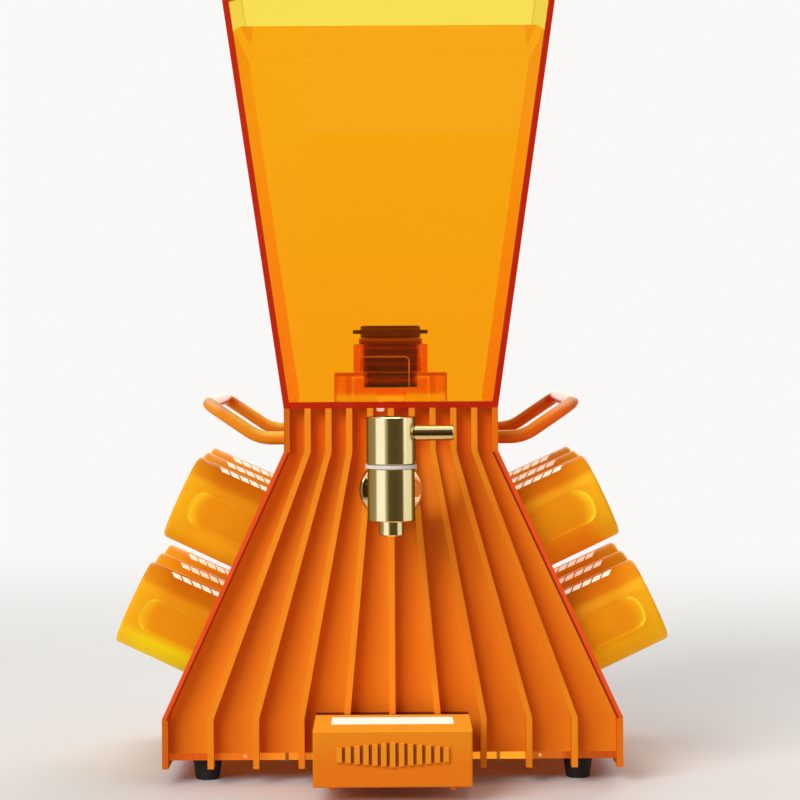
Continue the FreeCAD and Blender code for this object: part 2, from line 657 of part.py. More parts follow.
def outlet():
    seal, body, collar, flange, neck, neck_top = outlet_levels()
    nut_top = TANK_Z - DECK_SHEET
    nut_bottom = nut_top - OUTLET_NUT_THICK
    stem_bottom = nut_bottom - OUTLET_THREAD_END

    half = PLINTH_WIDTH / 2
    plinth = box(-half, half, MID_Y - half, MID_Y + half, FLOOR_TOP_Z, collar)
    plinth = plinth.makeFillet(PLINTH_CORNER, edges_along(plinth, V(0, 0, 1)))
    plinth = plinth.makeFillet(BLOCK_ROUND, edges_at_height(plinth, collar))
    plinth = cut_all(plinth, [upright(OUTLET_STEM_RADIUS, 0, MID_Y, FLOOR_TOP_Z, seal),
                              upright(OUTLET_RADIUS, 0, MID_Y, seal, collar)])
    ring = round_edge(upright(COLLAR_RADIUS, 0, MID_Y, collar, flange), BLOCK_ROUND, V(0, MID_Y, flange))
    ring = ring.cut(upright(OUTLET_RADIUS, 0, MID_Y, collar, flange))

    inside = fuse([upright(OUTLET_STEM_RADIUS, 0, MID_Y, stem_bottom, body),
                   upright(OUTLET_RADIUS, 0, MID_Y, body, flange),
                   upright(OUTLET_FLANGE_RADIUS, 0, MID_Y, flange, neck),
                   upright(OUTLET_NECK_RADIUS, 0, MID_Y, neck, neck_top),
                   upright(HOSE_BORE_RADIUS, 0, MID_Y, stem_bottom - BARB_LENGTH, stem_bottom)])
    inside = cut_all(inside, [upright(OUTLET_BORE_RADIUS, 0, MID_Y, body + OUTLET_SEAL_THICK, neck_top),
                              upright(BARB_BORE_RADIUS, 0, MID_Y, stem_bottom - BARB_LENGTH,
                                      body + OUTLET_SEAL_THICK)])
    washer = upright(OUTLET_RADIUS, 0, MID_Y, seal, body)
    washer = washer.cut(upright(OUTLET_STEM_RADIUS, 0, MID_Y, seal, body))
    nut = hexagon(OUTLET_NUT_WIDTH, 0, MID_Y, nut_bottom, nut_top)
    nut = nut.cut(upright(OUTLET_STEM_RADIUS, 0, MID_Y, nut_bottom, nut_top))
    return {"outlet_plinth": [plinth], "outlet_collar": [ring], "outlet_body": [inside],
            "outlet_seal": [washer], "outlet_nut": [nut], "outlet_cap": [outlet_cap(neck)]}, stem_bottom


def outlet_cap(seat):
    """The winged cap that turns on the outlet's neck, with inlet windows round its side."""
    z0 = seat + CAP_GAP
    z1 = z0 + CAP_HEIGHT
    inner = OUTLET_NECK_RADIUS + CAP_GAP
    shell = upright(CAP_RADIUS, 0, MID_Y, z0, z1)
    rims = [edge for edge in shell.Edges if isinstance(edge.Curve, Part.Circle)]
    shell = shell.makeChamfer(CAP_CHAMFER, rims)
    wing_z = z0 + WING_RISE
    wings = box(-WING_REACH, WING_REACH, MID_Y - WING_WIDTH / 2, MID_Y + WING_WIDTH / 2,
                wing_z, wing_z + WING_THICK)
    wings = wings.makeFillet(WING_WIDTH / 3, edges_along(wings, V(0, 0, 1)))
    cap = fuse([shell, wings]).cut(upright(inner, 0, MID_Y, z0, z1 - CAP_TOP))
    window_top = z1 - CAP_TOP
    windows = []
    for k in range(CAP_WINDOWS):
        window = box(OUTLET_BORE_RADIUS, WING_REACH, -CAP_WINDOW_WIDTH / 2, CAP_WINDOW_WIDTH / 2,
                     window_top - CAP_WINDOW_HEIGHT, window_top)
        window.rotate(V(0, 0, 0), V(0, 0, 1), CAP_WINDOW_TURN + k * CAP_WINDOW_PITCH)
        window.translate(V(0, MID_Y, 0))
        windows.append(window)
    return cut_all(cap, windows)


def hose(top_z):
    """The hose hangs from the outlet's barb and turns forward to the shank's."""
    shank_back = INSIDE_FRONT_Y + SHANK_NUT_THICK + SHANK_END
    bend = top_z - BARB_LENGTH - TAP_Z
    points = [V(0, MID_Y, top_z), V(0, MID_Y, TAP_Z), V(0, shank_back, TAP_Z)]
    run = bent_rod(points, [bend], HOSE_RADIUS).cut(bent_rod(points, [bend], HOSE_BORE_RADIUS))
    margin = (BARB_LENGTH - CLIP_WIDTH) / 2
    clip_z = top_z - margin
    clip_y = shank_back + margin
    outer = HOSE_RADIUS + CLIP_THICK
    clips = [tube(outer, HOSE_RADIUS, V(0, MID_Y, clip_z - CLIP_WIDTH), V(0, MID_Y, clip_z)),
             tube(outer, HOSE_RADIUS, shank_end(clip_y), shank_end(clip_y + CLIP_WIDTH))]
    return {"supply_hose": [run], "hose_clips": clips}


# ---------------------------------------------------------------- tap
def on_tap(z):
    return V(0, TAP_Y, z)


def tap_rod(radius, z0, z1):
    return cylinder(radius, on_tap(z0), on_tap(z1))


def soften(shape, z):
    """Chamfers the outer round edges at a height."""
    edges = [edge for edge in shape.Edges if isinstance(edge.Curve, Part.Circle)
             and abs(edge.Curve.Center.z - z) < 0.01 and abs(edge.Curve.Axis.z) > 0.99]
    return shape.makeChamfer(TAP_EDGE, edges)


def tap_levels():
    """Heights in the tap: body's bottom, shoulder's seat, bonnet's seat, body's top, head's bottom."""
    bottom = TAP_Z - TAP_BELOW_AXIS
    top = TAP_Z + TAP_ABOVE_AXIS
    shoulder = TAP_Z + STEM_SHOULDER_RISE
    bonnet = shoulder + STEM_SHOULDER_THICK + 2 * HEAD_GAP
    head = top + SLIP_RING_THICK + HEAD_GAP
    return bottom, shoulder, bonnet, top, head


def tap_lower_body():
    bottom, shoulder, bonnet, top, _ = tap_levels()
    chamber_bottom = TAP_Z - STEM_BELOW_AXIS - HEAD_GAP
    body = soften(soften(tap_rod(TAP_RADIUS, bottom, top), top), bottom)
    shank_hole = cylinder(SHANK_RADIUS, shank_end(shank_front_y()), shank_end(TAP_Y + 2 * TAP_RADIUS))
    return cut_all(body, [tap_rod(NOZZLE_SPIGOT_RADIUS, bottom, bottom + NOZZLE_SPIGOT_LENGTH),
                          tap_rod(NOZZLE_BORE_RADIUS, bottom, chamber_bottom),
                          tap_rod(STEM_RADIUS + STEM_CLEARANCE, chamber_bottom, shoulder),
                          tap_rod(STEM_SHOULDER_RADIUS + STEM_SHOULDER_CLEARANCE, shoulder, bonnet),
                          tap_rod(BONNET_RADIUS, bonnet, top),
                          cylinder(SHANK_BORE_RADIUS, shank_end(TAP_Y), shank_end(shank_front_y())),
                          shank_hole])


def tap_stem():
    """The plug that opens the tap: an angled passage in a stem that turns with the head."""
    _, shoulder, _, _, head = tap_levels()
    shoulder += HEAD_GAP
    stem = fuse([tap_rod(STEM_RADIUS, TAP_Z - STEM_BELOW_AXIS, head + STEM_INTO_HEAD),
                 tap_rod(STEM_SHOULDER_RADIUS, shoulder, shoulder + STEM_SHOULDER_THICK)])
    passage = tap_rod(STEM_PORT_RADIUS, TAP_Z - STEM_BELOW_AXIS, TAP_Z)
    port = cylinder(STEM_PORT_RADIUS, on_tap(TAP_Z), V(-2 * STEM_RADIUS, TAP_Y, TAP_Z))
    grooves = [tap_rod(STEM_RADIUS, z - SEAL_SECTION_RADIUS, z + SEAL_SECTION_RADIUS).cut(
        tap_rod(STEM_RADIUS - 2 * SEAL_SECTION_RADIUS, z - SEAL_SECTION_RADIUS, z + SEAL_SECTION_RADIUS))
        for z in seal_heights()]
    return cut_all(stem, [fuse([passage, port])] + grooves)


def seal_heights():
    return [TAP_Z - SEAL_OFFSET, TAP_Z + SEAL_OFFSET]


def stem_seals():
    return [Part.makeTorus(STEM_RADIUS - SEAL_SECTION_RADIUS, SEAL_SECTION_RADIUS, on_tap(z), V(0, 0, 1))
            for z in seal_heights()]


def tap():
    bottom, _, bonnet, top, head = tap_levels()
    collar = tap_rod(BONNET_RADIUS, bonnet, top).cut(tap_rod(STEM_RADIUS + STEM_CLEARANCE, bonnet, top))
    ring = tap_rod(SLIP_RING_RADIUS, top, top + SLIP_RING_THICK)
    ring = ring.cut(tap_rod(STEM_RADIUS + STEM_CLEARANCE, top, top + SLIP_RING_THICK))

    nozzle = fuse([tap_rod(NOZZLE_RADIUS, bottom - NOZZLE_LENGTH, bottom),
                   tap_rod(NOZZLE_SPIGOT_RADIUS, bottom, bottom + NOZZLE_SPIGOT_LENGTH)])
    nozzle = soften(nozzle, bottom - NOZZLE_LENGTH)
    nozzle = nozzle.cut(tap_rod(NOZZLE_BORE_RADIUS, bottom - NOZZLE_LENGTH, bottom + NOZZLE_SPIGOT_LENGTH))

    lever_z = head + LEVER_RISE
    lever_end = V(LEVER_REACH, TAP_Y, lever_z)
    inner_end = V(HEAD_RADIUS - LEVER_SPIGOT_INSET, TAP_Y, lever_z)
    plain_head = tap_rod(HEAD_RADIUS, head, head + HEAD_HEIGHT)
    rod = cylinder(LEVER_RADIUS, inner_end, lever_end)
    rod = rod.makeChamfer(LEVER_CHAMFER, [edge for edge in rod.Edges if isinstance(edge.Curve, Part.Circle)
                                          and (edge.Curve.Center - lever_end).Length < 0.01])
    spigot = cylinder(LEVER_SPIGOT_RADIUS, inner_end, V(HEAD_RADIUS, TAP_Y, lever_z))
    lever = fuse([rod.cut(plain_head), spigot])
    top_body = soften(soften(plain_head, head + HEAD_HEIGHT), head)
    top_body = cut_all(top_body, [tap_rod(STEM_RADIUS, head, head + STEM_INTO_HEAD),
                                  cylinder(LEVER_SPIGOT_RADIUS, inner_end, lever_end)])
    return {"tap_lower_body": [tap_lower_body()], "tap_stem": [tap_stem()], "stem_seals": stem_seals(),
            "tap_bonnet": [collar], "tap_slip_ring": [ring], "tap_nozzle": [nozzle],
            "tap_lever": [lever], "tap_upper_body": [top_body]}


def tap_mounting():
    """The shank through the front wall, its rosette and its nut."""
    front = shank_front_y()
    nut_back = INSIDE_FRONT_Y + SHANK_NUT_THICK
    back = nut_back + SHANK_END
    shank = fuse([cylinder(SHANK_RADIUS, shank_end(front), shank_end(back)),
                  cylinder(HOSE_BORE_RADIUS, shank_end(back), shank_end(back + BARB_LENGTH))])
    shank = cut_all(shank, [cylinder(SHANK_BORE_RADIUS, shank_end(front), shank_end(nut_back)),
                            cylinder(BARB_BORE_RADIUS, shank_end(nut_back), shank_end(back + BARB_LENGTH))])
    face = shank_end(FRONT_Y - ROSETTE_THICK)
    rosette = round_edge(cylinder(ROSETTE_RADIUS, face, shank_end(FRONT_Y)), ROSETTE_ROUND, face)
    rosette = rosette.cut(cylinder(SHANK_RADIUS, face, shank_end(FRONT_Y)))
    nut = hexagon(SHANK_NUT_WIDTH, 0, 0, 0, SHANK_NUT_THICK)
    nut = nut.cut(upright(SHANK_RADIUS, 0, 0, 0, SHANK_NUT_THICK))
    nut.rotate(V(0, 0, 0), V(1, 0, 0), 90)
    nut.translate(shank_end(nut_back))
    return {"tap_shank": [shank], "tap_rosette": [rosette], "shank_nut": [nut]}


# ---------------------------------------------------------------- handles
def handle_z():
    return TANK_Z - HANDLE_DROP


def handle_rows():
    return [FRONT_Y + HANDLE_INSET_Y, BACK_Y - HANDLE_INSET_Y]


def handle():
    """The right-hand handle: one rod bent to a grip that runs from front to back."""
    front, back = handle_rows()
    cheek = NECK_WIDTH / 2
    low, high = handle_z(), handle_z() + HANDLE_GRIP_RISE
    half = [V(cheek, front, low), V(cheek + HANDLE_BEND_OUT, front, low),
            V(cheek + HANDLE_GRIP_OUT, front, high)]
    points = half + [V(point.x, back, point.z) for point in reversed(half)]
    bends = [HANDLE_ARM_BEND, HANDLE_GRIP_BEND, HANDLE_GRIP_BEND, HANDLE_ARM_BEND]
    rod = bent_rod(points, bends, HANDLE_RADIUS)
    hole_end = cheek - SIDE_SHEET + SCREW_LENGTH
    return cut_all(rod, [cylinder(SCREW_RADIUS, V(cheek, y, low), V(hole_end, y, low))
                         for y in handle_rows()])


# ---------------------------------------------------------------- cup stand
def stand_boss_xs():
    """The bosses pass through the two bays beside the middle fin."""
    half_bay = (BASE_WIDTH - SIDE_SHEET) / FIN_SPACES / 2
    return [-half_bay, half_bay]


def stand_boss_z():
    return PLATE_TOP_Z + RAIL_SIZE + SCREW_HEAD_RADIUS + SCREW_HEAD_GAP


def stand():
    half = STAND_WIDTH / 2
    front = FRONT_Y - STAND_REACH
    shell = box(-half, half, front, FRONT_Y, STAND_BOTTOM, STAND_TOP_Z)
    rims = [edge for edge in edges_along(shell, V(0, 0, 1)) + edges_along(shell, V(1, 0, 0))
            if edge.CenterOfMass.y < front + 0.01]
    shell = shell.makeFillet(STAND_ROUND, rims)
    bosses = [cylinder(STAND_BOSS_RADIUS, V(x, FRONT_Y - STAND_WALL, stand_boss_z()),
                       V(x, WALL_FRONT_Y, stand_boss_z())) for x in stand_boss_xs()]
    cavity = box(-half + STAND_WALL, half - STAND_WALL, front + STAND_WALL, FRONT_Y - STAND_WALL,
                 STAND_BOTTOM, STAND_TOP_Z - STAND_WALL)
    screw_end = INSIDE_FRONT_Y - SCREW_LENGTH
    screw_holes = [cylinder(SCREW_RADIUS, V(x, screw_end, stand_boss_z()), V(x, WALL_FRONT_Y, stand_boss_z()))
                   for x in stand_boss_xs()]
    window = box(-WINDOW_WIDTH / 2, WINDOW_WIDTH / 2, FRONT_Y - WINDOW_FROM_BACK - WINDOW_DEPTH,
                 FRONT_Y - WINDOW_FROM_BACK, STAND_TOP_Z - WINDOW_THICK, STAND_TOP_Z)
    housing = cut_all(fuse([shell.cut(cavity)] + bosses + relief_bars(front)), screw_holes + [window])
    window_box = window.BoundBox
    light = box(window_box.XMin - LIGHT_MARGIN, window_box.XMax + LIGHT_MARGIN,
                window_box.YMin - LIGHT_MARGIN, window_box.YMax + LIGHT_MARGIN,
                window_box.ZMin - LIGHT_HEIGHT, window_box.ZMin)
    return {"stand_housing": [housing], "stand_window": [window], "stand_light": [light],
            "stand_cover": [stand_cover(front)]}


def relief_bars(front):
    """Plain raised bars on the stand's front, tallest in the middle."""
    middle = STAND_BOTTOM + STAND_HEIGHT / 2 + RELIEF_RISE
    bars = []
    for i in range(RELIEF_BARS):
        place = i - (RELIEF_BARS - 1) / 2
        x = place * RELIEF_PITCH
        half = (RELIEF_MIDDLE_HEIGHT - RELIEF_STEP * abs(place)) / 2
        bars.append(box(x - RELIEF_BAR_WIDTH / 2, x + RELIEF_BAR_WIDTH / 2,
                        front - RELIEF_PROUD, front + STAND_WALL / 2, middle - half, middle + half))
    return bars


def stand_cover(front):
    half = STAND_WIDTH / 2 - STAND_WALL
    plate = box(-half, half, front + STAND_WALL, FRONT_Y - STAND_WALL,
                STAND_BOTTOM, STAND_BOTTOM + STAND_WALL)
    tabs = [upright(TAB_RADIUS, x, y, STAND_BOTTOM - TAB_DROP, STAND_BOTTOM)
            for x in (-TAB_SPREAD, TAB_SPREAD) for y in (front + TAB_INSET, FRONT_Y - TAB_INSET)]
    return fuse([plate] + tabs)


# ---------------------------------------------------------------- whole object
def all_nodes():
    """Every piece by its node's name, as a list of the solids that the node holds."""
    panel = side_panel()
    plate = backplate()
    grip = handle()
    front_fins, back_fins = fins()
    nodes = {"base_cheeks": base_cheeks(), "front_wall": [front_wall()], "back_wall": [back_wall()],
             "front_fins": front_fins, "back_fins": back_fins, "neck_deck": [neck_deck()],
             "base_rails": base_rails(), "bottom_plate": [bottom_plate()], "feet": feet(),
             "base_screws": base_screws(),
             "right_side_panel": [panel], "left_side_panel": [mirror_x(panel)],
             "right_backplate": plate, "left_backplate": [mirror_x(piece) for piece in plate],
             "right_handle": [grip], "left_handle": [mirror_x(grip)]}
    outlet_nodes, hose_top = outlet()
    for group in (tank(), lid(), outlet_nodes, hose(hose_top), tap(), tap_mounting(), stand(), stored_cups()):
        nodes.update(group)
    return nodes


def main():
    os.makedirs("parts", exist_ok=True)
    for name, pieces in all_nodes().items():
        solids = [solid for piece in pieces for solid in piece.Solids]
        shape = solids[0] if len(solids) == 1 else Part.makeCompound(solids)
        shape.exportStep("parts/%s.step" % name)
        print("%-18s solids %2d  valid %s  volume %9.1f" % (name, len(solids), shape.isValid(), shape.Volume))


main()
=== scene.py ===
"""Party shot dispenser: finishes, the drink, the cups' print, light and camera.

Metres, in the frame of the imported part: +Z up, +X to the right of a person who faces
the tap, +Y from the front to the back, origin on the plane under the feet.
"""
import math

import bmesh
import bpy
from mathutils import Matrix, Vector


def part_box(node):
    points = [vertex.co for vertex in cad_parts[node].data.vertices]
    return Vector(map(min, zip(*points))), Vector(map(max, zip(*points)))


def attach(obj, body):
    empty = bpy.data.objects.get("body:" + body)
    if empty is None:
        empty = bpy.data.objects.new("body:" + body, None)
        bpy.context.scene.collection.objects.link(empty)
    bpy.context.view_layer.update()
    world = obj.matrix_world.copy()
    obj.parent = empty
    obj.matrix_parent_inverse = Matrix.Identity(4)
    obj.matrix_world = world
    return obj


MM = 0.001
X, Y, Z = (1, 0, 0), (0, 1, 0), (0, 0, 1)
FORWARD, DOWNWARD = (0, -1, 0), (0, 0, -1)

# Tank and drink
TANK_BOTTOM = 185.8 * MM
TANK_TOP = 419.8 * MM
TANK_FLOOR = 3.0 * MM
TANK_BOTTOM_HALF = 52.8 * MM
TANK_TOP_HALF = 86.8 * MM
TANK_SHEET = 3.0 * MM
DRINK_LEVEL = 374.6 * MM
DRINK_GAP = 0.15 * MM
DRINK_EDGE_WIDTH = 4.0 * MM
DRINK_EDGE_DROP = 2.0 * MM
# Painted shade along the drink's back corners, this wide
DRINK_CORNER_LINE = 0.9 * MM

# Outlet in the tank: heights, then half widths
CAP_TOP = 226.8 * MM
FLANGE_PALE = (218.2 * MM, 219.0 * MM)
FLANGE_BOTTOM = (217.0 * MM, 217.3 * MM)
COLLAR_TOP = 217.2 * MM
COLLAR_STREAK_RISE = (206 * MM, 213 * MM)
PLINTH_TOP = 202.6 * MM
PLINTH_LINE_RISE = (199.7 * MM, 200.3 * MM)
PLINTH_LINE_TOP = 200.2 * MM
PLINTH_FOOT = (194.2 * MM, 190.4 * MM)
# Below this height the stem glows amber with painted light, paler towards its foot
STEM_TOP = 194.9 * MM
STEM_PALE = (191.6 * MM, 189.2 * MM)
# Painted streak of light in the collar, outward and then upward
COLLAR_STREAK = (14.8 * MM, 16.0 * MM)
PLINTH_LINE = (19.4 * MM, 19.9 * MM)
PLINTH_CORE = 19.6 * MM
PLINTH_RED_BAND = (20.2 * MM, 23.2 * MM)
PLINTH_SIDES = (27.4 * MM, 28.2 * MM)
THREAD_PITCH = 4.2 * MM

# The seam on the outlet's front: its left and lower ends, the centre of its round and its radii
SEAM_ENDS = (-13.4 * MM, 194.6 * MM)
SEAM_CENTRE = (7.2 * MM, 208.4 * MM)
SEAM_RADII = (2.05 * MM, 2.35 * MM)

# Base, walls and fins
NECK_HALF = 52.8 * MM
BASE_HALF = 113.65 * MM
BEND_HEIGHT = 164.6 * MM
LOW_BEND_HEIGHT = 32.9 * MM
PANEL_SLOPE = math.atan2((227.3 - 105.6) / 2, 131.7)
SIDE_FACE = NECK_HALF * math.cos(PANEL_SLOPE) + BEND_HEIGHT * math.sin(PANEL_SLOPE)
SIDE_EDGE_LINE = (SIDE_FACE - 2.5 * MM, SIDE_FACE - 1.6 * MM)
MIDDLE_Y = 24.75 * MM
HALF_DEPTH = 82.5 * MM
FINS_FRONT = -57.75 * MM
FIN_SPACES = 10
FIN_SHEET = 3.0 * MM
SAWN_EDGE = 0.2 * MM
# Sawn edges are lifted paler, partly their own tone and partly a painted highlight
SAWN_AND_HIGHLIGHT_LIFT = (1.07, 1.32, 1.30)
# Painted shade: right of the middle, over these heights, the sawn edges lose that lift
SHADED_FROM = (5 * MM, 25 * MM)
SHADED_HEIGHTS = (50 * MM, 145 * MM)
TAP_LIGHT_PLACE = (20.5 * MM, 150 * MM)
TAP_LIGHT_RADII = (17 * MM, 22 * MM)
# Painted highlight along the handles' grips, from these distances out
GRIP_FROM = (78 * MM, 84 * MM)

# The bottom plate's front edge, outward from its middle
PLATE_MIDDLE_END = (65.5 * MM, 66.5 * MM)
PLATE_OUTER_START = (83 * MM, 87 * MM)
# Where a screw shows through the edge as a dark band
PLATE_DARK_BAND = (51.5 * MM, 53.3 * MM)
# A painted glint on the edge, outward and upward
PLATE_GLINT = (72.4 * MM, 73.8 * MM)
PLATE_GLINT_RISE = (12.4 * MM, 13.9 * MM)

# Stored cups, as they stand in the slanted side panels
ROW_PITCH = 48.5 * MM
FIRST_LEVEL = 44.1 * MM
LEVEL_PITCH = 58.3 * MM
CUP_LENGTH = 60.0 * MM
CUP_STANDOUT = 38.8 * MM
CUP_MOUTH_RADIUS = 22.5 * MM
CUP_END_RADIUS = 21.9 * MM
CUP_END_FROM = 20 * MM
LABEL_FROM_END = 6.5 * MM
LABEL_ROUND = 18 * MM
CRESCENT_WIDTH = 7 * MM

# Zones of a cup, upward from its axis
CUP_TOP_ZONE = (11.5 * MM, 16 * MM)
# A painted highlight streak along the cup, and its soft edge
CUP_STREAK = (9.5 * MM, 13 * MM)
CUP_STREAK_SOFT = 1.5 * MM
CUP_THICK_WALL = 5 * MM
CUP_UNDER_ZONE = (-6 * MM, -13 * MM)
LABEL_EDGE = (10.0 * MM, 7.5 * MM)

# White dashes on the cups: their row starts near the closed end
DASHES = 5
DASH_LENGTH = 4.3 * MM
DASH_PITCH = 5.4 * MM
DASH_START = 47.0 * MM
DASH_SLANT = 1.2 * MM
DASH_STEPS = 6
DASH_ANGLE = math.radians(74)
DASH_HALF_ANGLE = math.radians(6.5)
INK_LIFTS = (0.02 * MM, 0.09 * MM)

# Cup stand and its raised bars
STAND_FRONT = -108.75 * MM
STAND_HALF = 37.7 * MM
STAND_TOP = 34.9 * MM
# Heights over which the stand's front is painted lighter and warmer towards its top
STAND_WARMED = (14 * MM, 33 * MM)
RELIEF_PROUD = 1.6 * MM
RELIEF_MIDDLE = 24.05 * MM
RELIEF_HALF_WIDTH = 26.3 * MM
RELIEF_HALF_HEIGHT = 5.75 * MM
RELIEF_TAPER = 0.095

# The rosette's painted reflections, upward from the tap's axis, and the bow of its face
ROSETTE_DARK = (-4.5 * MM, 5.0 * MM)
ROSETTE_WARM = (-6.5 * MM, -5.0 * MM)
ROSETTE_BOW = -38.0

# Colours with more than one use
NO_LIGHT = (0.0, 0.0, 0.0)
WARM = (1.0, 0.80, 0.42)
OLIVE = (0.14, 0.11, 0.06)
DEEP_REDS = ((0.43, 0.012, 0.0015), (0.53, 0.017, 0.0020))
CONTACT_SHADE = (0.20, 0.030, 0.003)
TANK_TINT = (1.0, 0.89, 0.30)
SIDE_TINT = (0.97, 0.48, 0.06)

# Studio
PALE = (0.95, 0.94, 0.92)
FLOOR = (0.84, 0.83, 0.81)
FLOOR_RADIUS = 9.0
FLOOR_FADE = (0.35, 1.3)
WORLD_LIGHT = 0.22
WORLD_COLOUR = (0.9, 0.9, 0.9)
LAMP_AIM = (0, 0, 0.2)
# Each lamp's name, place, size and power
LAMPS = (
    ("key_light", (-1.25, -1.75, 1.45), (1.5, 1.5), 44.0),
    ("fill_light", (1.9, -1.2, 0.8), (1.4, 1.4), 5.0),
    ("top_light", (0.0, 0.4, 2.2), (1.6, 1.2), 14.0),
    ("back_light", (0.8, 1.9, 1.2), (1.2, 1.2), 16.0),
)
# Each card's name, its two ends on the floor plan, the heights of its foot and top, and its colour
CARDS = (
    ("dark_card", (-0.05, -0.26), (0.29, -0.25), (0.01, 0.34), (0.09, 0.065, 0.028)),
    ("shade_card", (-0.20, -0.46), (-0.05, -0.26), (0.0, 0.45), (0.40, 0.36, 0.26)),
    ("bright_card", (-0.38, -0.19), (-0.20, -0.46), (0.0, 0.45), (1.15, 1.17, 1.40)),
    ("olive_card", (-1.1, -0.38), (-0.5, 1.1), (0.0, 1.2), (0.30, 0.26, 0.16)),
    # Painted shade: two dark sheets just in front of the wall beside the tap, seen only in reflections,
    # stand in for the shade behind the tap
    ("flag_left", (-0.0165, -0.0625), (-0.07, -0.0625), (0.11, 0.19), (0.40, 0.25, 0.09)),
    ("flag_right", (0.0165, -0.0625), (0.07, -0.0625), (0.11, 0.19), (0.28, 0.16, 0.05)),
    ("back_card", (-0.6, 2.2), (0.6, 2.2), (0.0, 1.4), (2.6, 2.5, 2.3)),
)

# Camera
CAMERA_DISTANCE = 1.19075
CAMERA_HEIGHT = 0.2203
CAMERA_LENS = 103.5
CAMERA_SENSOR = 36.0
CAMERA_ROLL = -0.0055
CAMERA_SHIFT = (0.012, -0.0775)
CAMERA_CLIP = (0.05, 50.0)


# ---------------------------------------------------------------- shader building
class Value:
    """A node's output on which plain arithmetic adds Math nodes."""

    def __init__(self, finish, socket):
        self.finish = finish
        self.socket = socket

    def __add__(self, other):
        return self.finish.maths("ADD", self, other)

    def __sub__(self, other):
        return self.finish.maths("SUBTRACT", self, other)

    def __rsub__(self, other):
        return self.finish.maths("SUBTRACT", other, self)

    def __mul__(self, other):
        return self.finish.maths("MULTIPLY", self, other)

    def __truediv__(self, other):
        return self.finish.maths("DIVIDE", self, other)

    def __rtruediv__(self, other):
        return self.finish.maths("DIVIDE", other, self)

    def __gt__(self, other):
        return self.finish.maths("GREATER_THAN", self, other)

    def __lt__(self, other):
        return self.finish.maths("LESS_THAN", self, other)

    def __abs__(self):
        return self.finish.maths("ABSOLUTE", self)

    __radd__ = __add__
    __rmul__ = __mul__


class Finish:
    """One material, or another owner of shader nodes, and the nodes that make it."""

    def __init__(self, name, owner=None):
        self.material = owner or bpy.data.materials.new(name)
        self.material.use_nodes = True
        self.tree = self.material.node_tree
        self.tree.nodes.clear()

    def node(self, kind, settings=None, output=None, inputs=(), **named):
        """Adds a node: its settings, then its inputs in order or by name, with _ for a space."""
        made = self.tree.nodes.new("ShaderNode" + kind)
        for name, setting in (settings or {}).items():
            setattr(made, name, setting)
        pairs = list(zip(made.inputs, inputs))
        for name, given in named.items():
            key = name.replace("_", " ")
            pairs.append((next(s for s in made.inputs if s.enabled and s.name == key), given))
        for socket, given in pairs:
            if isinstance(given, Value):
                self.tree.links.new(given.socket, socket)
            elif isinstance(given, tuple) and len(given) == 3 and socket.type == "RGBA":
                socket.default_value = (*given, 1.0)
            else:
                socket.default_value = given
        found = [s for s in made.outputs if s.enabled and (output is None or s.name == output)]
        return Value(self, found[0]) if found else None

    def maths(self, operation, *values):
        return self.node("Math", {"operation": operation}, inputs=values)

    def dot(self, vector, axis):
        return self.node("VectorMath", {"operation": "DOT_PRODUCT"}, "Value", (vector, axis))

    def place(self):
        """The point on the object, in its own coordinates."""
        return self.node("TexCoord", output="Object")

    def along(self, axis):
        """How far a point lies along an axis from the origin."""
        return self.dot(self.place(), axis)

    def normal(self, axis):
        """A face's direction along an axis, from -1 to 1."""
        return self.dot(self.node("NewGeometry", output="True Normal"), axis)

    def seen(self):
        """1 where the camera, a reflection or clear material looks straight at this."""
        rays = [self.node("LightPath", output="Is %s Ray" % kind)
                for kind in ("Camera", "Glossy", "Transmission")]
        return rays[0] + rays[1] + rays[2] > 0.5

    def mix(self, mask, low, high):
        """One shader or another, by a mask."""
        return self.node("MixShader", inputs=(mask, low, high))

    def blend(self, mask, low, high):
        """A colour between two, by a mask."""
        return self.node("Mix", {"data_type": "RGBA"}, "Result", Factor=mask, A=low, B=high)

    def noise(self, scale, detail=2.0, stretch=None, roughness=0.5):
        point = self.place()
        if stretch:
            point = self.node("VectorMath", {"operation": "MULTIPLY"}, "Vector", (point, stretch))
        return self.node("TexNoise", output="Fac", Vector=point, Scale=scale, Detail=detail,
                         Roughness=roughness)

    def bump(self, height, distance, strength=1.0):
        return self.node("Bump", output="Normal", Height=height, Distance=distance, Strength=strength)

    def ease(self, value, low, high):
        """A smooth step from 0 at low to 1 at high."""
        return self.node("MapRange", {"interpolation_type": "SMOOTHSTEP"}, "Result",
                         Value=value, From_Min=low, From_Max=high)

    def band(self, value, low, high, soft=0.25 * MM):
        """1 between low and high, with soft ends."""
        return self.ease(value, low - soft, low + soft) - self.ease(value, high - soft, high + soft)

    def tap_light(self):
        """A soft round of light on the right of the tap, on the front only."""
        across = (self.along(X) - TAP_LIGHT_PLACE[0]) / TAP_LIGHT_RADII[0]
        up = (self.along(Z) - TAP_LIGHT_PLACE[1]) / TAP_LIGHT_RADII[1]
        return self.ease(across * across + up * up, 1.1, 0.05) * (self.along(Y) < 0.0)

    def surface(self, shader):
        self.node("OutputMaterial", Surface=shader)
        return self.material

    def plain(self, **sockets):
        return self.surface(self.node("BsdfPrincipled", **sockets))


# ---------------------------------------------------------------- orange acrylic
def satin(f, cloud, colour, glow, strength):
    """A soft sheen and a faint peel over a colour, with painted light added as emission."""
    peel = f.noise(900.0, 2.0)
    return f.plain(Base_Color=colour, Roughness=0.36 + 0.10 * cloud, Specular_IOR_Level=0.1,
                   Specular_Tint=WARM, Normal=f.bump(peel, 0.00006, 0.5),
                   Emission_Color=glow, Emission_Strength=strength)


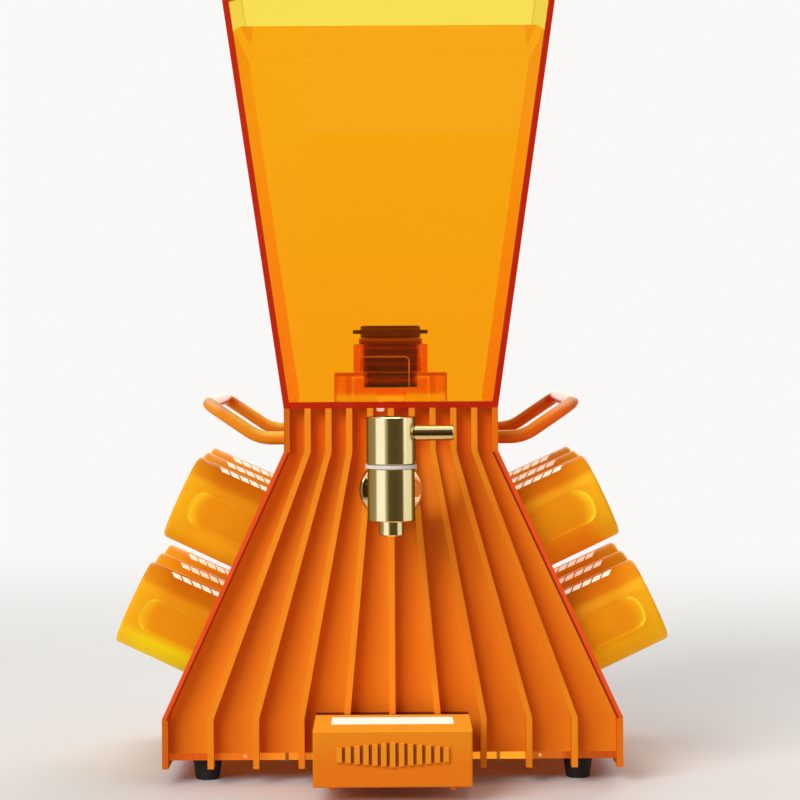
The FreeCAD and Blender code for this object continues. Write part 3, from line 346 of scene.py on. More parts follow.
def satin_orange(name, low, high, right=None):
    """Opaque orange acrylic, between two shades, with two others for the right half if given, to paint that
    half in other light.

    The fins' sawn front and back edges are paler, partly their own tone and partly a painted highlight, but
    not those in painted shade right of the middle; painted light round the tap's right side lifts the sawn
    edges there.
    """
    f = Finish(name)
    cloud = f.noise(22.0, 3.0)
    x = f.along(X)
    from_middle = abs(f.along(Y) - MIDDLE_Y)
    sawn = f.band(from_middle, HALF_DEPTH - SAWN_EDGE, HALF_DEPTH + SAWN_EDGE, 0.02 * MM)
    shaded = f.ease(x, *SHADED_FROM) * f.band(f.along(Z), *SHADED_HEIGHTS, 12 * MM)
    pale = [tuple(c * lift for c, lift in zip(shade, SAWN_AND_HIGHLIGHT_LIFT)) for shade in (low, high)]
    colour = f.blend(sawn * (1 - shaded), f.blend(cloud, low, high), f.blend(cloud, *pale))
    if right:
        colour = f.blend(x > 0.0, colour, f.blend(cloud, *right))
    # Painted light: emission round the tap's right side lifts the sawn edges out of its shade
    glow = f.blend(f.tap_light() * sawn, NO_LIGHT, colour)
    return satin(f, cloud, colour, glow, 0.32)


def wall_orange():
    """Opaque orange acrylic behind the fins, painted deep beside each fin where its shadow falls and
    lighter, yellower towards the next.
    """
    f = Finish("satin_orange_wall")
    cloud = f.noise(22.0, 3.0)
    x, z = f.along(X), f.along(Z)
    wide, narrow = ((2 * half - FIN_SHEET) / FIN_SPACES for half in (BASE_HALF, NECK_HALF))
    pitch = f.node("MapRange", output="Result", Value=z, From_Min=LOW_BEND_HEIGHT,
                   From_Max=BEND_HEIGHT, To_Min=wide, To_Max=narrow)
    bay = f.maths("FRACT", x / pitch)
    # Painted shade and light: deep where each fin's shadow falls, lighter and yellower towards the next fin
    colour = f.blend(f.ease(bay, 0.0, 0.55), (0.80, 0.135, 0.005), (0.79, 0.172, 0.007))
    colour = f.blend(f.ease(bay, 0.45, 1.0), colour, (0.86, 0.270, 0.014))
    colour = f.blend(0.25 * cloud, colour, (0.90, 0.230, 0.010))
    # Painted light: the wall is lightened towards the neck
    neck = f.ease(z, BEND_HEIGHT - 20 * MM, BEND_HEIGHT + 10 * MM)
    colour = f.blend(0.8 * neck, colour, (1.0, 0.19, 0.008))
    contact = (abs(x) < STAND_HALF) * f.ease(z, STAND_TOP + 0.2 * MM, STAND_TOP - 0.6 * MM)
    colour = f.blend(contact * (f.along(Y) < 0.0), colour, CONTACT_SHADE)
    # Painted light: emission fills the tap's shadow in the bays right of it
    glow = f.blend(f.tap_light() * f.ease(bay, 0.05, 0.6), NO_LIGHT, (0.74, 0.235, 0.018))
    return satin(f, cloud, colour, glow, 0.50)


def stand_orange():
    """The cup stand's acrylic, painted lighter and warmer towards the top as if lit by its window, with
    painted shade in the field behind its bars and a painted highlight on them.
    """
    f = Finish("satin_orange_stand")
    cloud = f.noise(22.0, 3.0)
    y, z = f.along(Y), f.along(Z)
    # Painted light: lighter and warmer towards the top
    colour = f.blend(f.ease(z, *STAND_WARMED),
                     f.blend(cloud, (0.81, 0.185, 0.008), (0.86, 0.205, 0.009)),
                     f.blend(cloud, (0.83, 0.240, 0.010), (0.87, 0.265, 0.012)))
    across = abs(f.along(X))
    up = abs(z - RELIEF_MIDDLE)
    reach = RELIEF_HALF_HEIGHT - RELIEF_TAPER * across
    field = f.ease(across, RELIEF_HALF_WIDTH, RELIEF_HALF_WIDTH - 1 * MM) * (reach - up > 0.0)
    # Painted shade in the gaps between the raised bars
    floor_level = f.band(y, STAND_FRONT + 0.7 * RELIEF_PROUD, STAND_FRONT + 1.3 * RELIEF_PROUD)
    colour = f.blend(0.72 * field * floor_level, colour, (0.26, 0.040, 0.003))
    bar_faces = y < STAND_FRONT + 0.2 * RELIEF_PROUD
    # Painted highlight on the bars' front faces
    colour = f.blend(0.6 * bar_faces, colour, (0.94, 0.34, 0.022))
    top = f.normal(Z) > 0.7
    contact = top * f.ease(y, FINS_FRONT - 1.5 * MM, FINS_FRONT - 0.7 * MM)
    colour = f.blend(contact, colour, CONTACT_SHADE)
    # Painted light: the top face glows as emission
    glow = f.blend(top * (1 - contact), NO_LIGHT, (0.30, 0.17, 0.014))
    return satin(f, cloud, colour, glow, 1.0)


def glossy_orange():
    """Moulded handle rod, polished, with painted light: yellower where it faces up, pale along its grip's
    top, and on the right handle deeper below and lighter above.
    """
    f = Finish("glossy_orange_rod")
    cloud = f.noise(40.0, 2.0)
    peel = f.noise(500.0, 1.0)
    x = f.along(X)
    right = x > 0.0
    # Painted light and shade: the left and right handles get different lit and shaded colours
    under = f.blend(right, f.blend(cloud, (0.85, 0.255, 0.011), (0.93, 0.300, 0.015)),
                    f.blend(cloud, (0.80, 0.120, 0.006), (0.88, 0.150, 0.008)))
    upper = f.blend(right, (0.99, 0.66, 0.100), (0.98, 0.40, 0.040))
    # Painted highlight: pale along the grip
    upper = f.blend(f.ease(abs(x), *GRIP_FROM), upper, (0.86, 0.50, 0.26))
    colour = f.blend(f.ease(f.normal(Z), 0.0, 0.9), under, upper)
    return f.plain(Base_Color=colour, Roughness=0.24 + 0.08 * cloud, Specular_IOR_Level=0.1,
                   Specular_Tint=WARM, Normal=f.bump(peel, 0.00002, 0.3))


# ---------------------------------------------------------------- clear acrylic
def clear_acrylic(name, broad_axis, tint, edge_colour, edge_glow=0.06):
    """Sheet that is clear through its broad faces, and opaque with a little glow at its edges.

    The tint is a colour or a function of the finish. The edge's colour is always a function.
    """
    f = Finish(name)
    edge = abs(f.normal(broad_axis)) < 0.6
    haze = f.noise(60.0, 3.0)
    tint = tint(f) if callable(tint) else tint
    sheet = f.node("BsdfPrincipled", Base_Color=tint, Transmission_Weight=1.0, IOR=1.16,
                   Roughness=0.01 + 0.02 * haze)
    saw = f.noise(300.0, 2.0, stretch=(1.0, 1.0, 0.05))
    colour = edge_colour(f, saw)
    rim = f.node("BsdfPrincipled", Base_Color=colour, Roughness=0.3 + 0.2 * saw,
                 Specular_IOR_Level=0.12, Specular_Tint=WARM,
                 Emission_Color=colour, Emission_Strength=edge_glow)
    return f.surface(f.mix(edge, sheet, rim))


def flank_tint(f):
    """The tank's side panels look deeper above the drink, where light passes them at a slant."""
    dry = f.ease(f.along(Z), DRINK_LEVEL - 1 * MM, DRINK_LEVEL + 1 * MM)
    return f.blend(dry, (1.0, 0.80, 0.20), (1.0, 0.66, 0.10))


def deep_red(f, saw):
    return f.blend(saw, *DEEP_REDS)


def side_edge(axis):
    """Bright on the outer half of a side panel's edge, with a painted shadow line along its inside."""
    def colour(f, saw):
        bright = f.blend(saw, (0.76, 0.070, 0.010), (0.86, 0.095, 0.014))
        return f.blend(f.ease(f.along(axis), *SIDE_EDGE_LINE), (0.26, 0.016, 0.002), bright)
    return colour


def plate_edge(f, saw):
    """The bottom plate's edge, in painted light and shade: it glows between the feet and is deep red beyond
    them, differently left and right of the middle, with a painted glint and a dark band where a screw shows
    through.
    """
    out = abs(f.along(X))
    right = f.along(X) > 0.0
    middle = f.blend(right, (0.50, 0.140, 0.008), (0.78, 0.270, 0.012))
    near_feet = f.blend(right, (0.42, 0.083, 0.005), (0.32, 0.062, 0.004))
    outer = f.blend(right, (0.34, 0.033, 0.002), (0.25, 0.024, 0.002))
    colour = f.blend(f.ease(out, *PLATE_OUTER_START), near_feet, outer)
    colour = f.blend(f.ease(out, *PLATE_MIDDLE_END), middle, colour)
    colour = f.blend(0.12 * saw, colour, (0.90, 0.40, 0.030))
    # A painted glint near each end of the edge
    painted_glint = f.band(out, *PLATE_GLINT) * f.band(f.along(Z), *PLATE_GLINT_RISE)
    colour = f.blend(0.35 * painted_glint, colour, (0.98, 0.60, 0.20))
    return f.blend(0.8 * f.band(out, *PLATE_DARK_BAND), colour, (0.10, 0.022, 0.004))


def seam(f):
    """A fine line across the collar's front that turns down in a round and runs over the plinth."""
    across = f.maths("MAXIMUM", f.along(X) - SEAM_CENTRE[0], 0.0)
    upward = f.maths("MAXIMUM", f.along(Z) - SEAM_CENTRE[1], 0.0)
    away = f.maths("SQRT", across * across + upward * upward)
    inside = (f.along(X) > SEAM_ENDS[0]) * (f.along(Z) > SEAM_ENDS[1])
    return f.band(away, *SEAM_RADII, 0.1 * MM) * inside * (f.normal(FORWARD) > 0.3)


def clear_block(f, colour, haze):
    """Clear acrylic of a turned or sawn block with its seam and an underside that glows with painted light.
    """
    glass = f.node("BsdfPrincipled", Base_Color=colour, Transmission_Weight=1.0, IOR=1.14,
                   Roughness=0.02 + 0.03 * haze)
    line = f.node("Emission", Color=(0.80, 0.30, 0.10))
    # Painted light: the underside glows as emission
    foot = f.node("Emission", Color=(1.0, 0.70, 0.25))
    return f.surface(f.mix(seam(f), f.mix(f.normal(DOWNWARD) > 0.5, glass, foot), line))


def collar_acrylic():
    """Clear red-orange ring with a painted streak of light beside the threaded body in it and a painted
    reflection as a deep red line along its top.
    """
    f = Finish("collar_acrylic")
    haze = f.noise(80.0, 2.0)
    out, z = abs(f.along(X)), f.along(Z)
    colour = f.blend(haze, (0.87, 0.19, 0.035), (0.92, 0.23, 0.045))
    # Painted light: a streak beside the body
    streak = f.band(out, *COLLAR_STREAK, 0.5 * MM) * f.ease(z, *COLLAR_STREAK_RISE)
    colour = f.blend(streak, colour, (0.99, 0.72, 0.30))
    # Painted reflection: a deep red line along the top
    top_line = f.ease(z, COLLAR_TOP - 0.9 * MM, COLLAR_TOP - 0.6 * MM)
    return clear_block(f, f.blend(top_line, colour, (0.80, 0.13, 0.02)), haze)


def plinth_acrylic():
    """Clear orange block: deep red along its sides and, as a painted reflection, its top, with painted lines
    of light inside and a painted glow at its foot.
    """
    f = Finish("plinth_acrylic")
    haze = f.noise(80.0, 2.0)
    out, z = abs(f.along(X)), f.along(Z)
    colour = f.blend(haze, (0.90, 0.35, 0.06), (0.94, 0.40, 0.07))
    colour = f.blend(out < PLINTH_CORE, colour, (0.90, 0.26, 0.04))
    colour = f.blend(f.band(out, *PLINTH_RED_BAND), colour, (0.84, 0.21, 0.04))
    # Painted light: pale where it glows at its foot
    colour = f.blend(f.ease(z + 2.5 * MM * haze, *PLINTH_FOOT), colour, (0.99, 0.86, 0.50))
    colour = f.blend(f.ease(out, *PLINTH_SIDES), colour, (0.70, 0.12, 0.02))
    # Painted lines of light inside the block
    uprights = f.band(out, *PLINTH_LINE, 0.15 * MM) * (z < PLINTH_LINE_TOP)
    level_line = f.band(z, *PLINTH_LINE_RISE, 0.15 * MM) * (out < PLINTH_LINE[1])
    colour = f.blend(f.maths("MAXIMUM", uprights, level_line), colour, (1.0, 0.97, 0.80))
    # Painted reflection: deep red along the top
    top_line = f.ease(z, PLINTH_TOP - 2.0 * MM, PLINTH_TOP - 1.4 * MM)
    return clear_block(f, f.blend(top_line, colour, (0.52, 0.065, 0.02)), haze)


# ---------------------------------------------------------------- cups
def cup_plastic():
    """Thin translucent cup, browner along its top and yellower at its closed end, with painted light: a
    highlight streak, a glowing underside and label recess, and a faint glow over all.
    """
    f = Finish("translucent_cup_plastic")
    cloud = f.noise(30.0, 2.0)
    peel = f.noise(600.0, 2.0)
    cosine, sine = math.cos(PANEL_SLOPE), math.sin(PANEL_SLOPE)
    x, z = f.along(X), f.along(Z)
    left = x < 0.0
    side = f.maths("SIGN", x)
    out = side * x * cosine + z * sine
    down = (side * x - NECK_HALF) * sine + (BEND_HEIGHT - z) * cosine
    lower = down > FIRST_LEVEL + LEVEL_PITCH / 2
    above = FIRST_LEVEL - down + LEVEL_PITCH * lower
    normal_x, normal_z = side * f.normal(X), f.normal(Z)
    front = f.normal(FORWARD) > 0.5
    end = f.ease(out, SIDE_FACE + CUP_END_FROM, SIDE_FACE + CUP_STANDOUT)
    # Painted light: the label recess's walls glow yellow
    inner_top = normal_z * cosine - normal_x * sine < -0.15
    upper_wall = inner_top * (above > CUP_THICK_WALL) * (0.12 + 0.55 * end)
    end_wall = 0.8 * (normal_x * cosine + normal_z * sine < -0.2)
    walls = f.maths("MAXIMUM", upper_wall, end_wall) * front
    inward = SIDE_FACE + CUP_STANDOUT - LABEL_FROM_END - out - above * above / LABEL_ROUND
    label = f.ease(abs(above), *LABEL_EDGE) * f.ease(inward, -0.6 * MM, 0.6 * MM)
    # Painted light: a crescent along the label recess's edge
    crescent = f.ease(inward, CRESCENT_WIDTH, 0.0) * label * front
    top = f.ease(above, *CUP_TOP_ZONE)
    under = f.ease(above, *CUP_UNDER_ZONE)
    rear = f.along(Y) > MIDDLE_Y - ROW_PITCH / 2
    body = f.blend(cloud, (0.83, 0.325, 0.008), (0.89, 0.365, 0.010))
    body = f.blend(top, body, f.blend(rear, (0.70, 0.200, 0.006), (0.84, 0.330, 0.010)))
    # Painted highlight: a streak above the axis, weaker towards the mouth and on the left
    streak = f.band(above, *CUP_STREAK, CUP_STREAK_SOFT) * (0.35 + 0.65 * end) * (1 - 0.6 * left)
    body = f.blend(streak, body, (0.96, 0.56, 0.030))
    # Painted light through the underside, different on the left and right
    body = f.blend(under * lower, body, f.blend(left, (0.96, 0.52, 0.010), (0.99, 0.84, 0.014)))
    body = f.blend(under * (1 - lower) * (1 - end), body,
                   f.blend(left, (0.92, 0.290, 0.009), (1.0, 0.50, 0.016)))
    body = f.blend(0.7 * end * (1 - label) * (1 - 0.6 * top), body, (0.91, 0.48, 0.014))
    body = f.blend(crescent * (0.8 - 0.35 * lower), body, (1.0, 0.68, 0.020))
    colour = f.blend(walls, body, (0.98, 0.66, 0.03))
    # Painted light: the cup glows a little as emission
    solid = f.node("BsdfPrincipled", Base_Color=colour, Roughness=0.30 + 0.08 * cloud,
                   Specular_IOR_Level=0.02, Specular_Tint=WARM, Normal=f.bump(peel, 0.00004, 0.4),
                   Emission_Color=colour, Emission_Strength=0.16)
    clear = f.node("BsdfPrincipled", Base_Color=(0.97, 0.52, 0.05), Transmission_Weight=1.0, IOR=1.04,
                   Roughness=0.15 + 0.06 * cloud)
    return f.surface(f.mix(0.36 - 0.2 * walls - 0.16 * top - 0.2 * end, solid, clear))


# ---------------------------------------------------------------- metal, mouldings, drink
def brushed_brass(name, stretch, roughness=0.13, painted_reflection_band=False):
    """Pale gold brass with a lathe's fine rings, which run across the stretched axis.

    A painted dark reflection band may run along the piece where it faces a little downward.
    """
    f = Finish(name)
    rings = f.noise(60.0, 4.0, stretch=stretch, roughness=0.7)
    colour = f.blend(f.noise(35.0, 2.0), (0.82, 0.68, 0.34), (0.90, 0.77, 0.41))
    if painted_reflection_band:
        # Painted reflection: a dark band where the piece faces a little downward
        colour = f.blend(f.band(f.normal(Z), -0.36, 0.08, 0.06), colour, (0.42, 0.28, 0.09))
    return f.plain(Base_Color=colour, Metallic=1.0, Roughness=roughness + 0.08 * rings,
                   Specular_Tint=OLIVE, Normal=f.bump(rings, 0.00002, 0.4))


def polished_brass(tap_height):
    """Polished round plate that bows forward at the tap's height, with a painted dark reflection on its left
    and a painted warm reflection on its right.
    """
    f = Finish("polished_brass")
    cloud = f.noise(45.0, 2.0)
    up = f.along(Z) - tap_height
    right = f.along(X) > 0.0
    dark = (1 - right) * f.band(up, *ROSETTE_DARK, 0.6 * MM)
    colour = f.blend(dark, f.blend(cloud, (0.80, 0.66, 0.34), (0.88, 0.75, 0.42)), (0.36, 0.25, 0.11))
    warm = right * f.ease(up, *ROSETTE_WARM) * (f.normal(FORWARD) > 0.9)
    return f.plain(Base_Color=colour, Metallic=1.0, Roughness=0.05 + 0.05 * cloud,
                   Normal=f.bump(up * up * ROSETTE_BOW, 1.0), Emission_Strength=1.0,
                   Emission_Color=f.blend(warm, NO_LIGHT, (0.55, 0.10, 0.012)))


def steel():
    f = Finish("zinc_plated_steel")
    grain = f.noise(400.0, 3.0)
    colour = f.blend(grain, (0.50, 0.50, 0.50), (0.66, 0.66, 0.66))
    return f.plain(Base_Color=colour, Metallic=1.0, Roughness=0.28 + 0.12 * grain)


def moulded(name, low, high, roughness=0.45, scale=700.0, glow=0.0):
    """Plain moulded plastic or rubber with a fine grain, which may be given painted light as emission."""
    f = Finish(name)
    grain = f.noise(scale, 2.0)
    colour = f.blend(grain, low, high)
    return f.plain(Base_Color=colour, Roughness=roughness + 0.12 * grain, Specular_IOR_Level=0.3,
                   Emission_Color=colour, Emission_Strength=glow, Normal=f.bump(grain, 0.00005, 0.4))


def outlet_moulding():
    """Dark brown threaded body, its turns painted in light and shade, with a paler flange over it and an
    amber stem at its foot that glows with painted light.
    """
    f = Finish("brown_moulding")
    grain = f.noise(300.0, 2.0)
    z = f.along(Z)
    # Painted light and shade across the thread's turns
    turns = f.maths("SINE", z * (2 * math.pi / THREAD_PITCH))
    body = f.blend(f.ease(turns, 0.1, 0.9), (0.20, 0.018, 0.003), (0.42, 0.047, 0.007))
    flange = f.blend(f.ease(z, *FLANGE_PALE), (0.24, 0.036, 0.006), (0.52, 0.107, 0.014))
    colour = f.blend(f.ease(z, *FLANGE_BOTTOM), body, flange)
    # Painted light: the stem glows amber as emission
    stem = z < STEM_TOP
    amber = f.blend(f.ease(z, *STEM_PALE), (0.90, 0.42, 0.05), (0.98, 0.75, 0.20))
    return f.plain(Base_Color=f.blend(stem, colour, amber), Roughness=0.3 + 0.1 * grain,
                   Specular_IOR_Level=0.15, Emission_Color=f.blend(stem, NO_LIGHT, amber),
                   Emission_Strength=0.6)


def cap_moulding():
    """Brown-black cap with a paler line below its top."""
    f = Finish("dark_cap_moulding")
    grain = f.noise(500.0, 2.0)
    line = f.band(f.along(Z), CAP_TOP - 2.1 * MM, CAP_TOP - 1.6 * MM, 0.2 * MM)
    colour = f.blend(grain, (0.130, 0.023, 0.008), (0.172, 0.031, 0.011))
    colour = f.blend(line, colour, (0.30, 0.08, 0.02))
    return f.plain(Base_Color=colour, Roughness=0.4 + 0.1 * grain, Specular_IOR_Level=0.2)


def hose_plastic():
    f = Finish("clear_soft_hose")
    cloud = f.noise(120.0, 2.0)
    colour = f.blend(cloud, (0.85, 0.78, 0.62), (0.92, 0.88, 0.76))
    return f.plain(Base_Color=colour, Transmission_Weight=0.6, IOR=1.4, Roughness=0.2 + 0.1 * cloud)


def drink():
    """Amber spirit, deeper towards the floor, with a painted glow along the tank's sides and painted shade
    in its back corners.
    """
    f = Finish("amber_drink")
    cloud = f.noise(12.0, 1.0)
    z = f.along(Z)
    level = f.ease(z, TANK_BOTTOM, DRINK_LEVEL)
    colour = f.blend(level, (0.985, 0.445, 0.030), (0.99, 0.525, 0.034))
    lean = (TANK_TOP_HALF - TANK_BOTTOM_HALF) / (TANK_TOP - TANK_BOTTOM)
    from_side = z * lean + (tank_half(0.0) - DRINK_GAP) - abs(f.along(X))
    # Painted shade along the back corners
    corner = (from_side < DRINK_CORNER_LINE) * (f.normal(Y) > 0.5)
    colour = f.blend(corner, f.blend(0.15 * cloud, colour, (0.97, 0.46, 0.03)), (0.70, 0.22, 0.02))
    clear = f.node("BsdfPrincipled", Base_Color=colour, Transmission_Weight=1.0, IOR=1.25, Roughness=0.0)
    # Painted light: the sides glow a deeper orange as emission
    deep = f.blend(level, (0.84, 0.215, 0.010), (0.84, 0.30, 0.012))
    glow = f.node("BsdfPrincipled", Base_Color=deep, Roughness=0.5, Emission_Color=deep,
                  Emission_Strength=0.45)
    side = (abs(f.normal(X)) > 0.5) * (0.75 - 0.30 * level)
    return f.surface(f.mix(side, clear, glow))


def lit_window():
    """Opal cover with a lamp under it."""
    f = Finish("opal_lit_window")
    cloud = f.noise(60.0, 2.0)
    colour = f.blend(cloud, (0.90, 0.86, 0.76), (0.94, 0.91, 0.83))
    return f.plain(Base_Color=colour, Roughness=0.3 + 0.1 * cloud,
                   Emission_Color=colour, Emission_Strength=0.6)


# ---------------------------------------------------------------- nodes of the frame
def dress(frame):
    """Gives each carried-over node its finish."""
    orange = satin_orange("satin_orange_acrylic", (0.82, 0.185, 0.008), (0.90, 0.222, 0.011))
    # Painted shade: the cheeks are a darker copy of the fins' acrylic, painted lighter on the right half
    cheek = satin_orange("satin_orange_cheek", (0.60, 0.094, 0.004), (0.65, 0.112, 0.005),
                         right=((0.78, 0.15228, 0.0048), (0.845, 0.18144, 0.0060)))
    wall = wall_orange()
    rod = glossy_orange()
    cup = cup_plastic()
    turned = brushed_brass("turned_brass", (0.1, 0.1, 60.0))
    lever = brushed_brass("turned_brass_lever", (60.0, 0.1, 0.1), 0.07, painted_reflection_band=True)
    shank = brushed_brass("turned_brass_shank", (0.1, 60.0, 0.1))
    low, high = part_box("tap_rosette")
    rosette = polished_brass((low[2] + high[2]) / 2)
    rubber = moulded("black_rubber", (0.011, 0.008, 0.006), (0.020, 0.015, 0.011), 0.6)
    # Painted light: the deck, the lid's rim and the pale floor plug glow as emission; the stand's light
    # module shares the pale finish
    deck = moulded("lit_deck", (0.96, 0.70, 0.22), (1.0, 0.78, 0.28), 0.4, 300.0, glow=0.7)
    rim = moulded("lid_rim_acrylic", *DEEP_REDS, 0.3, 300.0, glow=0.35)
    screws = moulded("plated_screws", (0.34, 0.22, 0.10), (0.42, 0.28, 0.14), 0.3)
    pale = moulded("pale_moulding", (0.86, 0.76, 0.62), (0.94, 0.86, 0.74), 0.4, glow=0.45)
    washer = moulded("white_washer", (0.66, 0.61, 0.56), (0.76, 0.72, 0.67), 0.35)

    taper = Vector((TANK_TOP - TANK_BOTTOM, 0, TANK_BOTTOM_HALF - TANK_TOP_HALF)).normalized()
    slope = Vector((math.cos(PANEL_SLOPE), 0, math.sin(PANEL_SLOPE)))
    left_taper, left_slope = (-taper.x, 0, taper.z), (-slope.x, 0, slope.z)
    tank_sheet = clear_acrylic("tank_sheet_front", Y, TANK_TINT, deep_red)
    finishes = {
        "tank_front_panel": tank_sheet, "tank_back_panel": tank_sheet,
        "tank_right_panel": clear_acrylic("tank_sheet_right", taper, flank_tint, deep_red),
        "tank_left_panel": clear_acrylic("tank_sheet_left", left_taper, flank_tint, deep_red),
        "tank_floor": clear_acrylic("tank_sheet_floor", Z, SIDE_TINT, deep_red),
        "lid_plate": clear_acrylic("lid_sheet", Z, TANK_TINT, deep_red), "lid_rim": rim,
        "right_side_panel": clear_acrylic("side_sheet_right", slope, SIDE_TINT, side_edge(slope)),
        "left_side_panel": clear_acrylic("side_sheet_left", left_slope, SIDE_TINT, side_edge(left_slope)),
        "bottom_plate": clear_acrylic("bottom_sheet", Z, SIDE_TINT, plate_edge, 1.0),
        "front_wall": wall, "back_wall": wall, "neck_deck": deck, "base_cheeks": cheek,
        "outlet_plinth": plinth_acrylic(), "outlet_collar": collar_acrylic(),
        "outlet_body": outlet_moulding(), "outlet_cap": cap_moulding(), "floor_plug": pale,
        "tap_upper_body": turned, "tap_lower_body": turned, "tap_nozzle": turned,
        "tap_stem": turned, "tap_bonnet": turned, "lid_knob": turned,
        "tap_lever": lever, "tap_shank": shank, "shank_nut": shank,
        "tap_rosette": rosette, "tap_slip_ring": washer,
        "feet": rubber, "outlet_nut": rubber, "stem_seals": rubber, "outlet_seal": rubber,
        "supply_hose": hose_plastic(), "hose_clips": steel(), "base_screws": screws,
        "stand_housing": stand_orange(), "stand_window": lit_window(), "stand_light": pale,
        "left_handle": rod, "right_handle": rod,
    }
    for name in frame["nodes"]:
        obj = bpy.data.objects[name]
        finish = finishes.get(name, cup if name.startswith("cup_") else orange)
        obj.data.materials.clear()
        obj.data.materials.append(finish)


def carry(piece, body, finish):
    """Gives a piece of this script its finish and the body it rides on."""
    piece.data.materials.append(finish)
    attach(piece, body)


def new_piece(name, mesh_maker):
    """An object whose mesh is made in a bmesh by a function."""
    shape = bmesh.new()
    mesh_maker(shape)
    bmesh.ops.recalc_face_normals(shape, faces=shape.faces)
    mesh = bpy.data.meshes.new(name)
    shape.to_mesh(mesh)
    shape.free()
    piece = bpy.data.objects.new(name, mesh)
    bpy.context.collection.objects.link(piece)
    return piece


# ---------------------------------------------------------------- the drink
def tank_half(height):
    """Half the tank's inner width at a height."""
    share = (height - TANK_BOTTOM) / (TANK_TOP - TANK_BOTTOM)
    lean = math.hypot(1.0, (TANK_TOP_HALF - TANK_BOTTOM_HALF) / (TANK_TOP - TANK_BOTTOM))
    outside = TANK_BOTTOM_HALF + (TANK_TOP_HALF - TANK_BOTTOM_HALF) * share
    return outside - TANK_SHEET * lean


def drink_mesh(shape):
    """The drink fills the tank to its level, a little lower along the tank's walls."""
    low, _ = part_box("tank_front_panel")
    _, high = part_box("tank_back_panel")
    front = low[1] + TANK_SHEET + DRINK_GAP
    back = high[1] - TANK_SHEET - DRINK_GAP
    rings = []
    for z, inset in ((TANK_BOTTOM + TANK_FLOOR + DRINK_GAP, 0.0), (DRINK_LEVEL - DRINK_EDGE_DROP, 0.0),
                     (DRINK_LEVEL, DRINK_EDGE_WIDTH)):
        x = tank_half(z) - DRINK_GAP - inset
        rings.append([shape.verts.new(corner) for corner in
                      ((-x, front, z), (x, front, z), (x, back, z), (-x, back, z))])
    shape.faces.new(rings[0][::-1])
    for lower, upper in zip(rings, rings[1:]):
        for i in range(4):
            j = (i + 1) % 4
            shape.faces.new((lower[i], lower[j], upper[j], upper[i]))
    shape.faces.new(rings[-1])


# ---------------------------------------------------------------- print on the cups
def cup_frame(side, level, row):
    """Matrix of a stored cup: its mouth at the origin, its closed end along local X.

    Local -Y is the front and local Z the upper side of the cup.
    """
    down = FIRST_LEVEL + level * LEVEL_PITCH
    place = Vector((NECK_HALF + math.sin(PANEL_SLOPE) * down, MIDDLE_Y + (row - 1) * ROW_PITCH,
                    BEND_HEIGHT - math.cos(PANEL_SLOPE) * down))
    axis = Vector((math.cos(PANEL_SLOPE), 0, math.sin(PANEL_SLOPE)))
    mouth = place - axis * (CUP_LENGTH - CUP_STANDOUT)
    matrix = Matrix.Translation(mouth) @ Matrix.Rotation(-PANEL_SLOPE, 4, "Y")
    return Matrix.Diagonal((side, 1, 1, 1)) @ matrix


def print_mesh(matrix):
    """A row of plain slanted dashes along the cup, each a thin skin that follows its round side."""
    def corner(along, angle, lift):
        radius = CUP_MOUTH_RADIUS + (CUP_END_RADIUS - CUP_MOUTH_RADIUS) * along / CUP_LENGTH + lift
        return matrix @ Vector((along, -math.cos(angle) * radius, math.sin(angle) * radius))

    def build(shape):
        for k in range(DASHES):
            grid = []
            for i in range(DASH_STEPS + 1):
                share = 2 * i / DASH_STEPS - 1
                angle = DASH_ANGLE + DASH_HALF_ANGLE * share
                line = []
                for end in (0, 1):
                    along = DASH_START - k * DASH_PITCH - end * DASH_LENGTH + DASH_SLANT * share
                    line.append([shape.verts.new(corner(along, angle, lift)) for lift in INK_LIFTS])
                grid.append(line)
            for a, b in zip(grid, grid[1:]):
                shape.faces.new((a[0][1], a[1][1], b[1][1], b[0][1]))
                shape.faces.new((a[0][0], b[0][0], b[1][0], a[1][0]))
                shape.faces.new((a[0][0], a[0][1], b[0][1], b[0][0]))
                shape.faces.new((a[1][0], b[1][0], b[1][1], a[1][1]))
            for line in (grid[0], grid[-1]):
                shape.faces.new((line[0][0], line[0][1], line[1][1], line[1][0]))
    return build


def cup_prints():
    # Painted light: the ink glows a little as emission
    ink = moulded("white_ink", (0.86, 0.80, 0.62), (0.94, 0.89, 0.70), 0.6, 300.0, glow=0.55)
    for side, word in ((1, "right"), (-1, "left")):
        for level in range(2):
            for row in range(3):
                name = "cup_%s_%d_%d" % (word, level + 1, row + 1)
                piece = new_piece("print_" + name, print_mesh(cup_frame(side, level, row)))
                carry(piece, name + "_body", ink)


# ---------------------------------------------------------------- studio
def floor():
    """A pale floor that fades into the pale surroundings."""
    def build(shape):
        bmesh.ops.create_circle(shape, cap_ends=True, segments=64, radius=FLOOR_RADIUS)
    ground = new_piece("studio_floor", build)
    f = Finish("pale_floor")
    away = f.node("VectorMath", {"operation": "LENGTH"}, "Value", Vector=f.place())
    near = f.node("BsdfPrincipled", Base_Color=FLOOR, Roughness=0.8, Specular_IOR_Level=0.1)
    glow = f.node("Emission", Color=PALE)
    ground.data.materials.append(f.surface(f.mix(f.ease(away, *FLOOR_FADE) * f.seen(), near, glow)))


def card(name, start, end, heights, colour):
    """An upright studio card that only shows in reflections."""
    def build(shape):
        foot, top = heights
        corners = ((*start, foot), (*end, foot), (*end, top), (*start, top))
        shape.faces.new([shape.verts.new(corner) for corner in corners])
    piece = new_piece(name, build)
    f = Finish(name + "_colour")
    piece.data.materials.append(f.surface(f.node("Emission", Color=colour)))
    piece.visible_camera = False
    piece.visible_diffuse = False
    piece.visible_shadow = False
    piece.visible_transmission = False


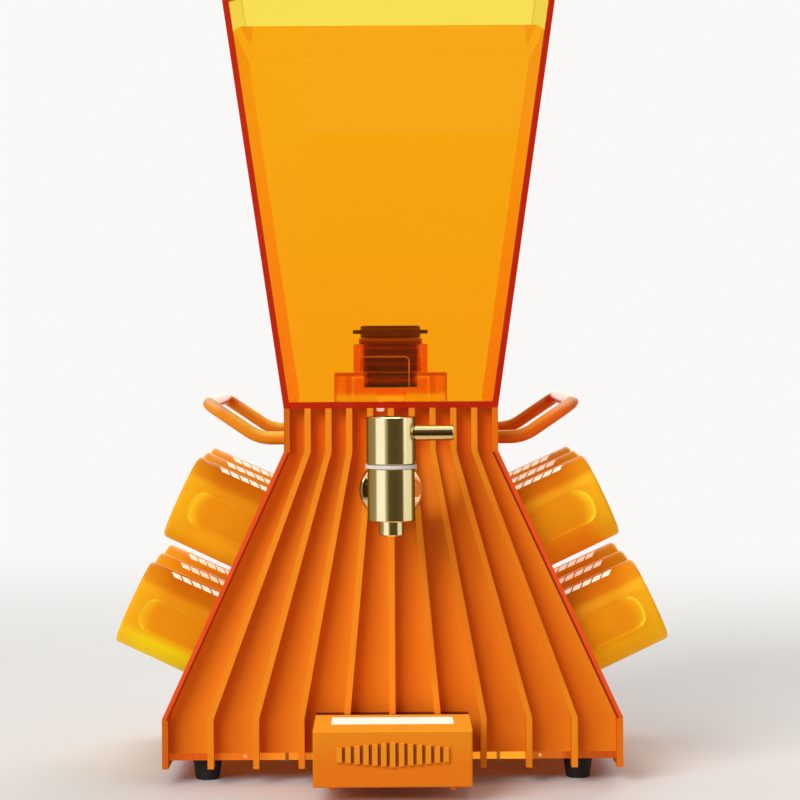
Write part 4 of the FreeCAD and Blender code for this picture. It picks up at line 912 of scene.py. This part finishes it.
def lamp(name, place, size, power):
    light = bpy.data.lights.new(name, "AREA")
    light.shape = "RECTANGLE"
    light.size, light.size_y = size
    light.energy = power
    obj = bpy.data.objects.new(name, light)
    obj.visible_camera = False
    obj.visible_transmission = False
    obj.location = place
    obj.rotation_euler = (Vector(LAMP_AIM) - Vector(place)).to_track_quat("-Z", "Y").to_euler()
    bpy.context.collection.objects.link(obj)


def studio():
    floor()
    for row in CARDS:
        card(*row)
    for row in LAMPS:
        lamp(*row)
    world = bpy.data.worlds.new("studio_world")
    bpy.context.scene.world = world
    f = Finish("studio_world", world)
    seen = f.node("Background", Color=PALE, Strength=1.0)
    soft = f.node("Background", Color=WORLD_COLOUR, Strength=WORLD_LIGHT)
    f.node("OutputWorld", Surface=f.mix(f.seen(), soft, seen))


def camera():
    data = bpy.data.cameras.new("camera")
    data.sensor_width = CAMERA_SENSOR
    data.lens = CAMERA_LENS
    data.shift_x, data.shift_y = CAMERA_SHIFT
    data.clip_start, data.clip_end = CAMERA_CLIP
    obj = bpy.data.objects.new("camera", data)
    obj.matrix_world = (Matrix.Translation((0, -CAMERA_DISTANCE, CAMERA_HEIGHT))
                        @ Matrix.Rotation(math.radians(90), 4, "X")
                        @ Matrix.Rotation(CAMERA_ROLL, 4, "Z"))
    bpy.context.collection.objects.link(obj)
    bpy.context.scene.camera = obj


# ---------------------------------------------------------------- whole scene
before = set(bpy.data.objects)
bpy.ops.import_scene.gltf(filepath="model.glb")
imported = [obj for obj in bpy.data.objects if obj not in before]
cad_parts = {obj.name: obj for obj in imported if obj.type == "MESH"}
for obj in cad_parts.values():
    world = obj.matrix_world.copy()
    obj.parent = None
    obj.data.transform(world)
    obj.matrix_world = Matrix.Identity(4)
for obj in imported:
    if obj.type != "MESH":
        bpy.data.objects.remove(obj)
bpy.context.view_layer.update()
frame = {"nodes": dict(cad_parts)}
dress(frame)
carry(new_piece("drink_fill", drink_mesh), "base", drink())
cup_prints()
studio()
camera()
bpy.context.scene.view_settings.view_transform = "Standard"
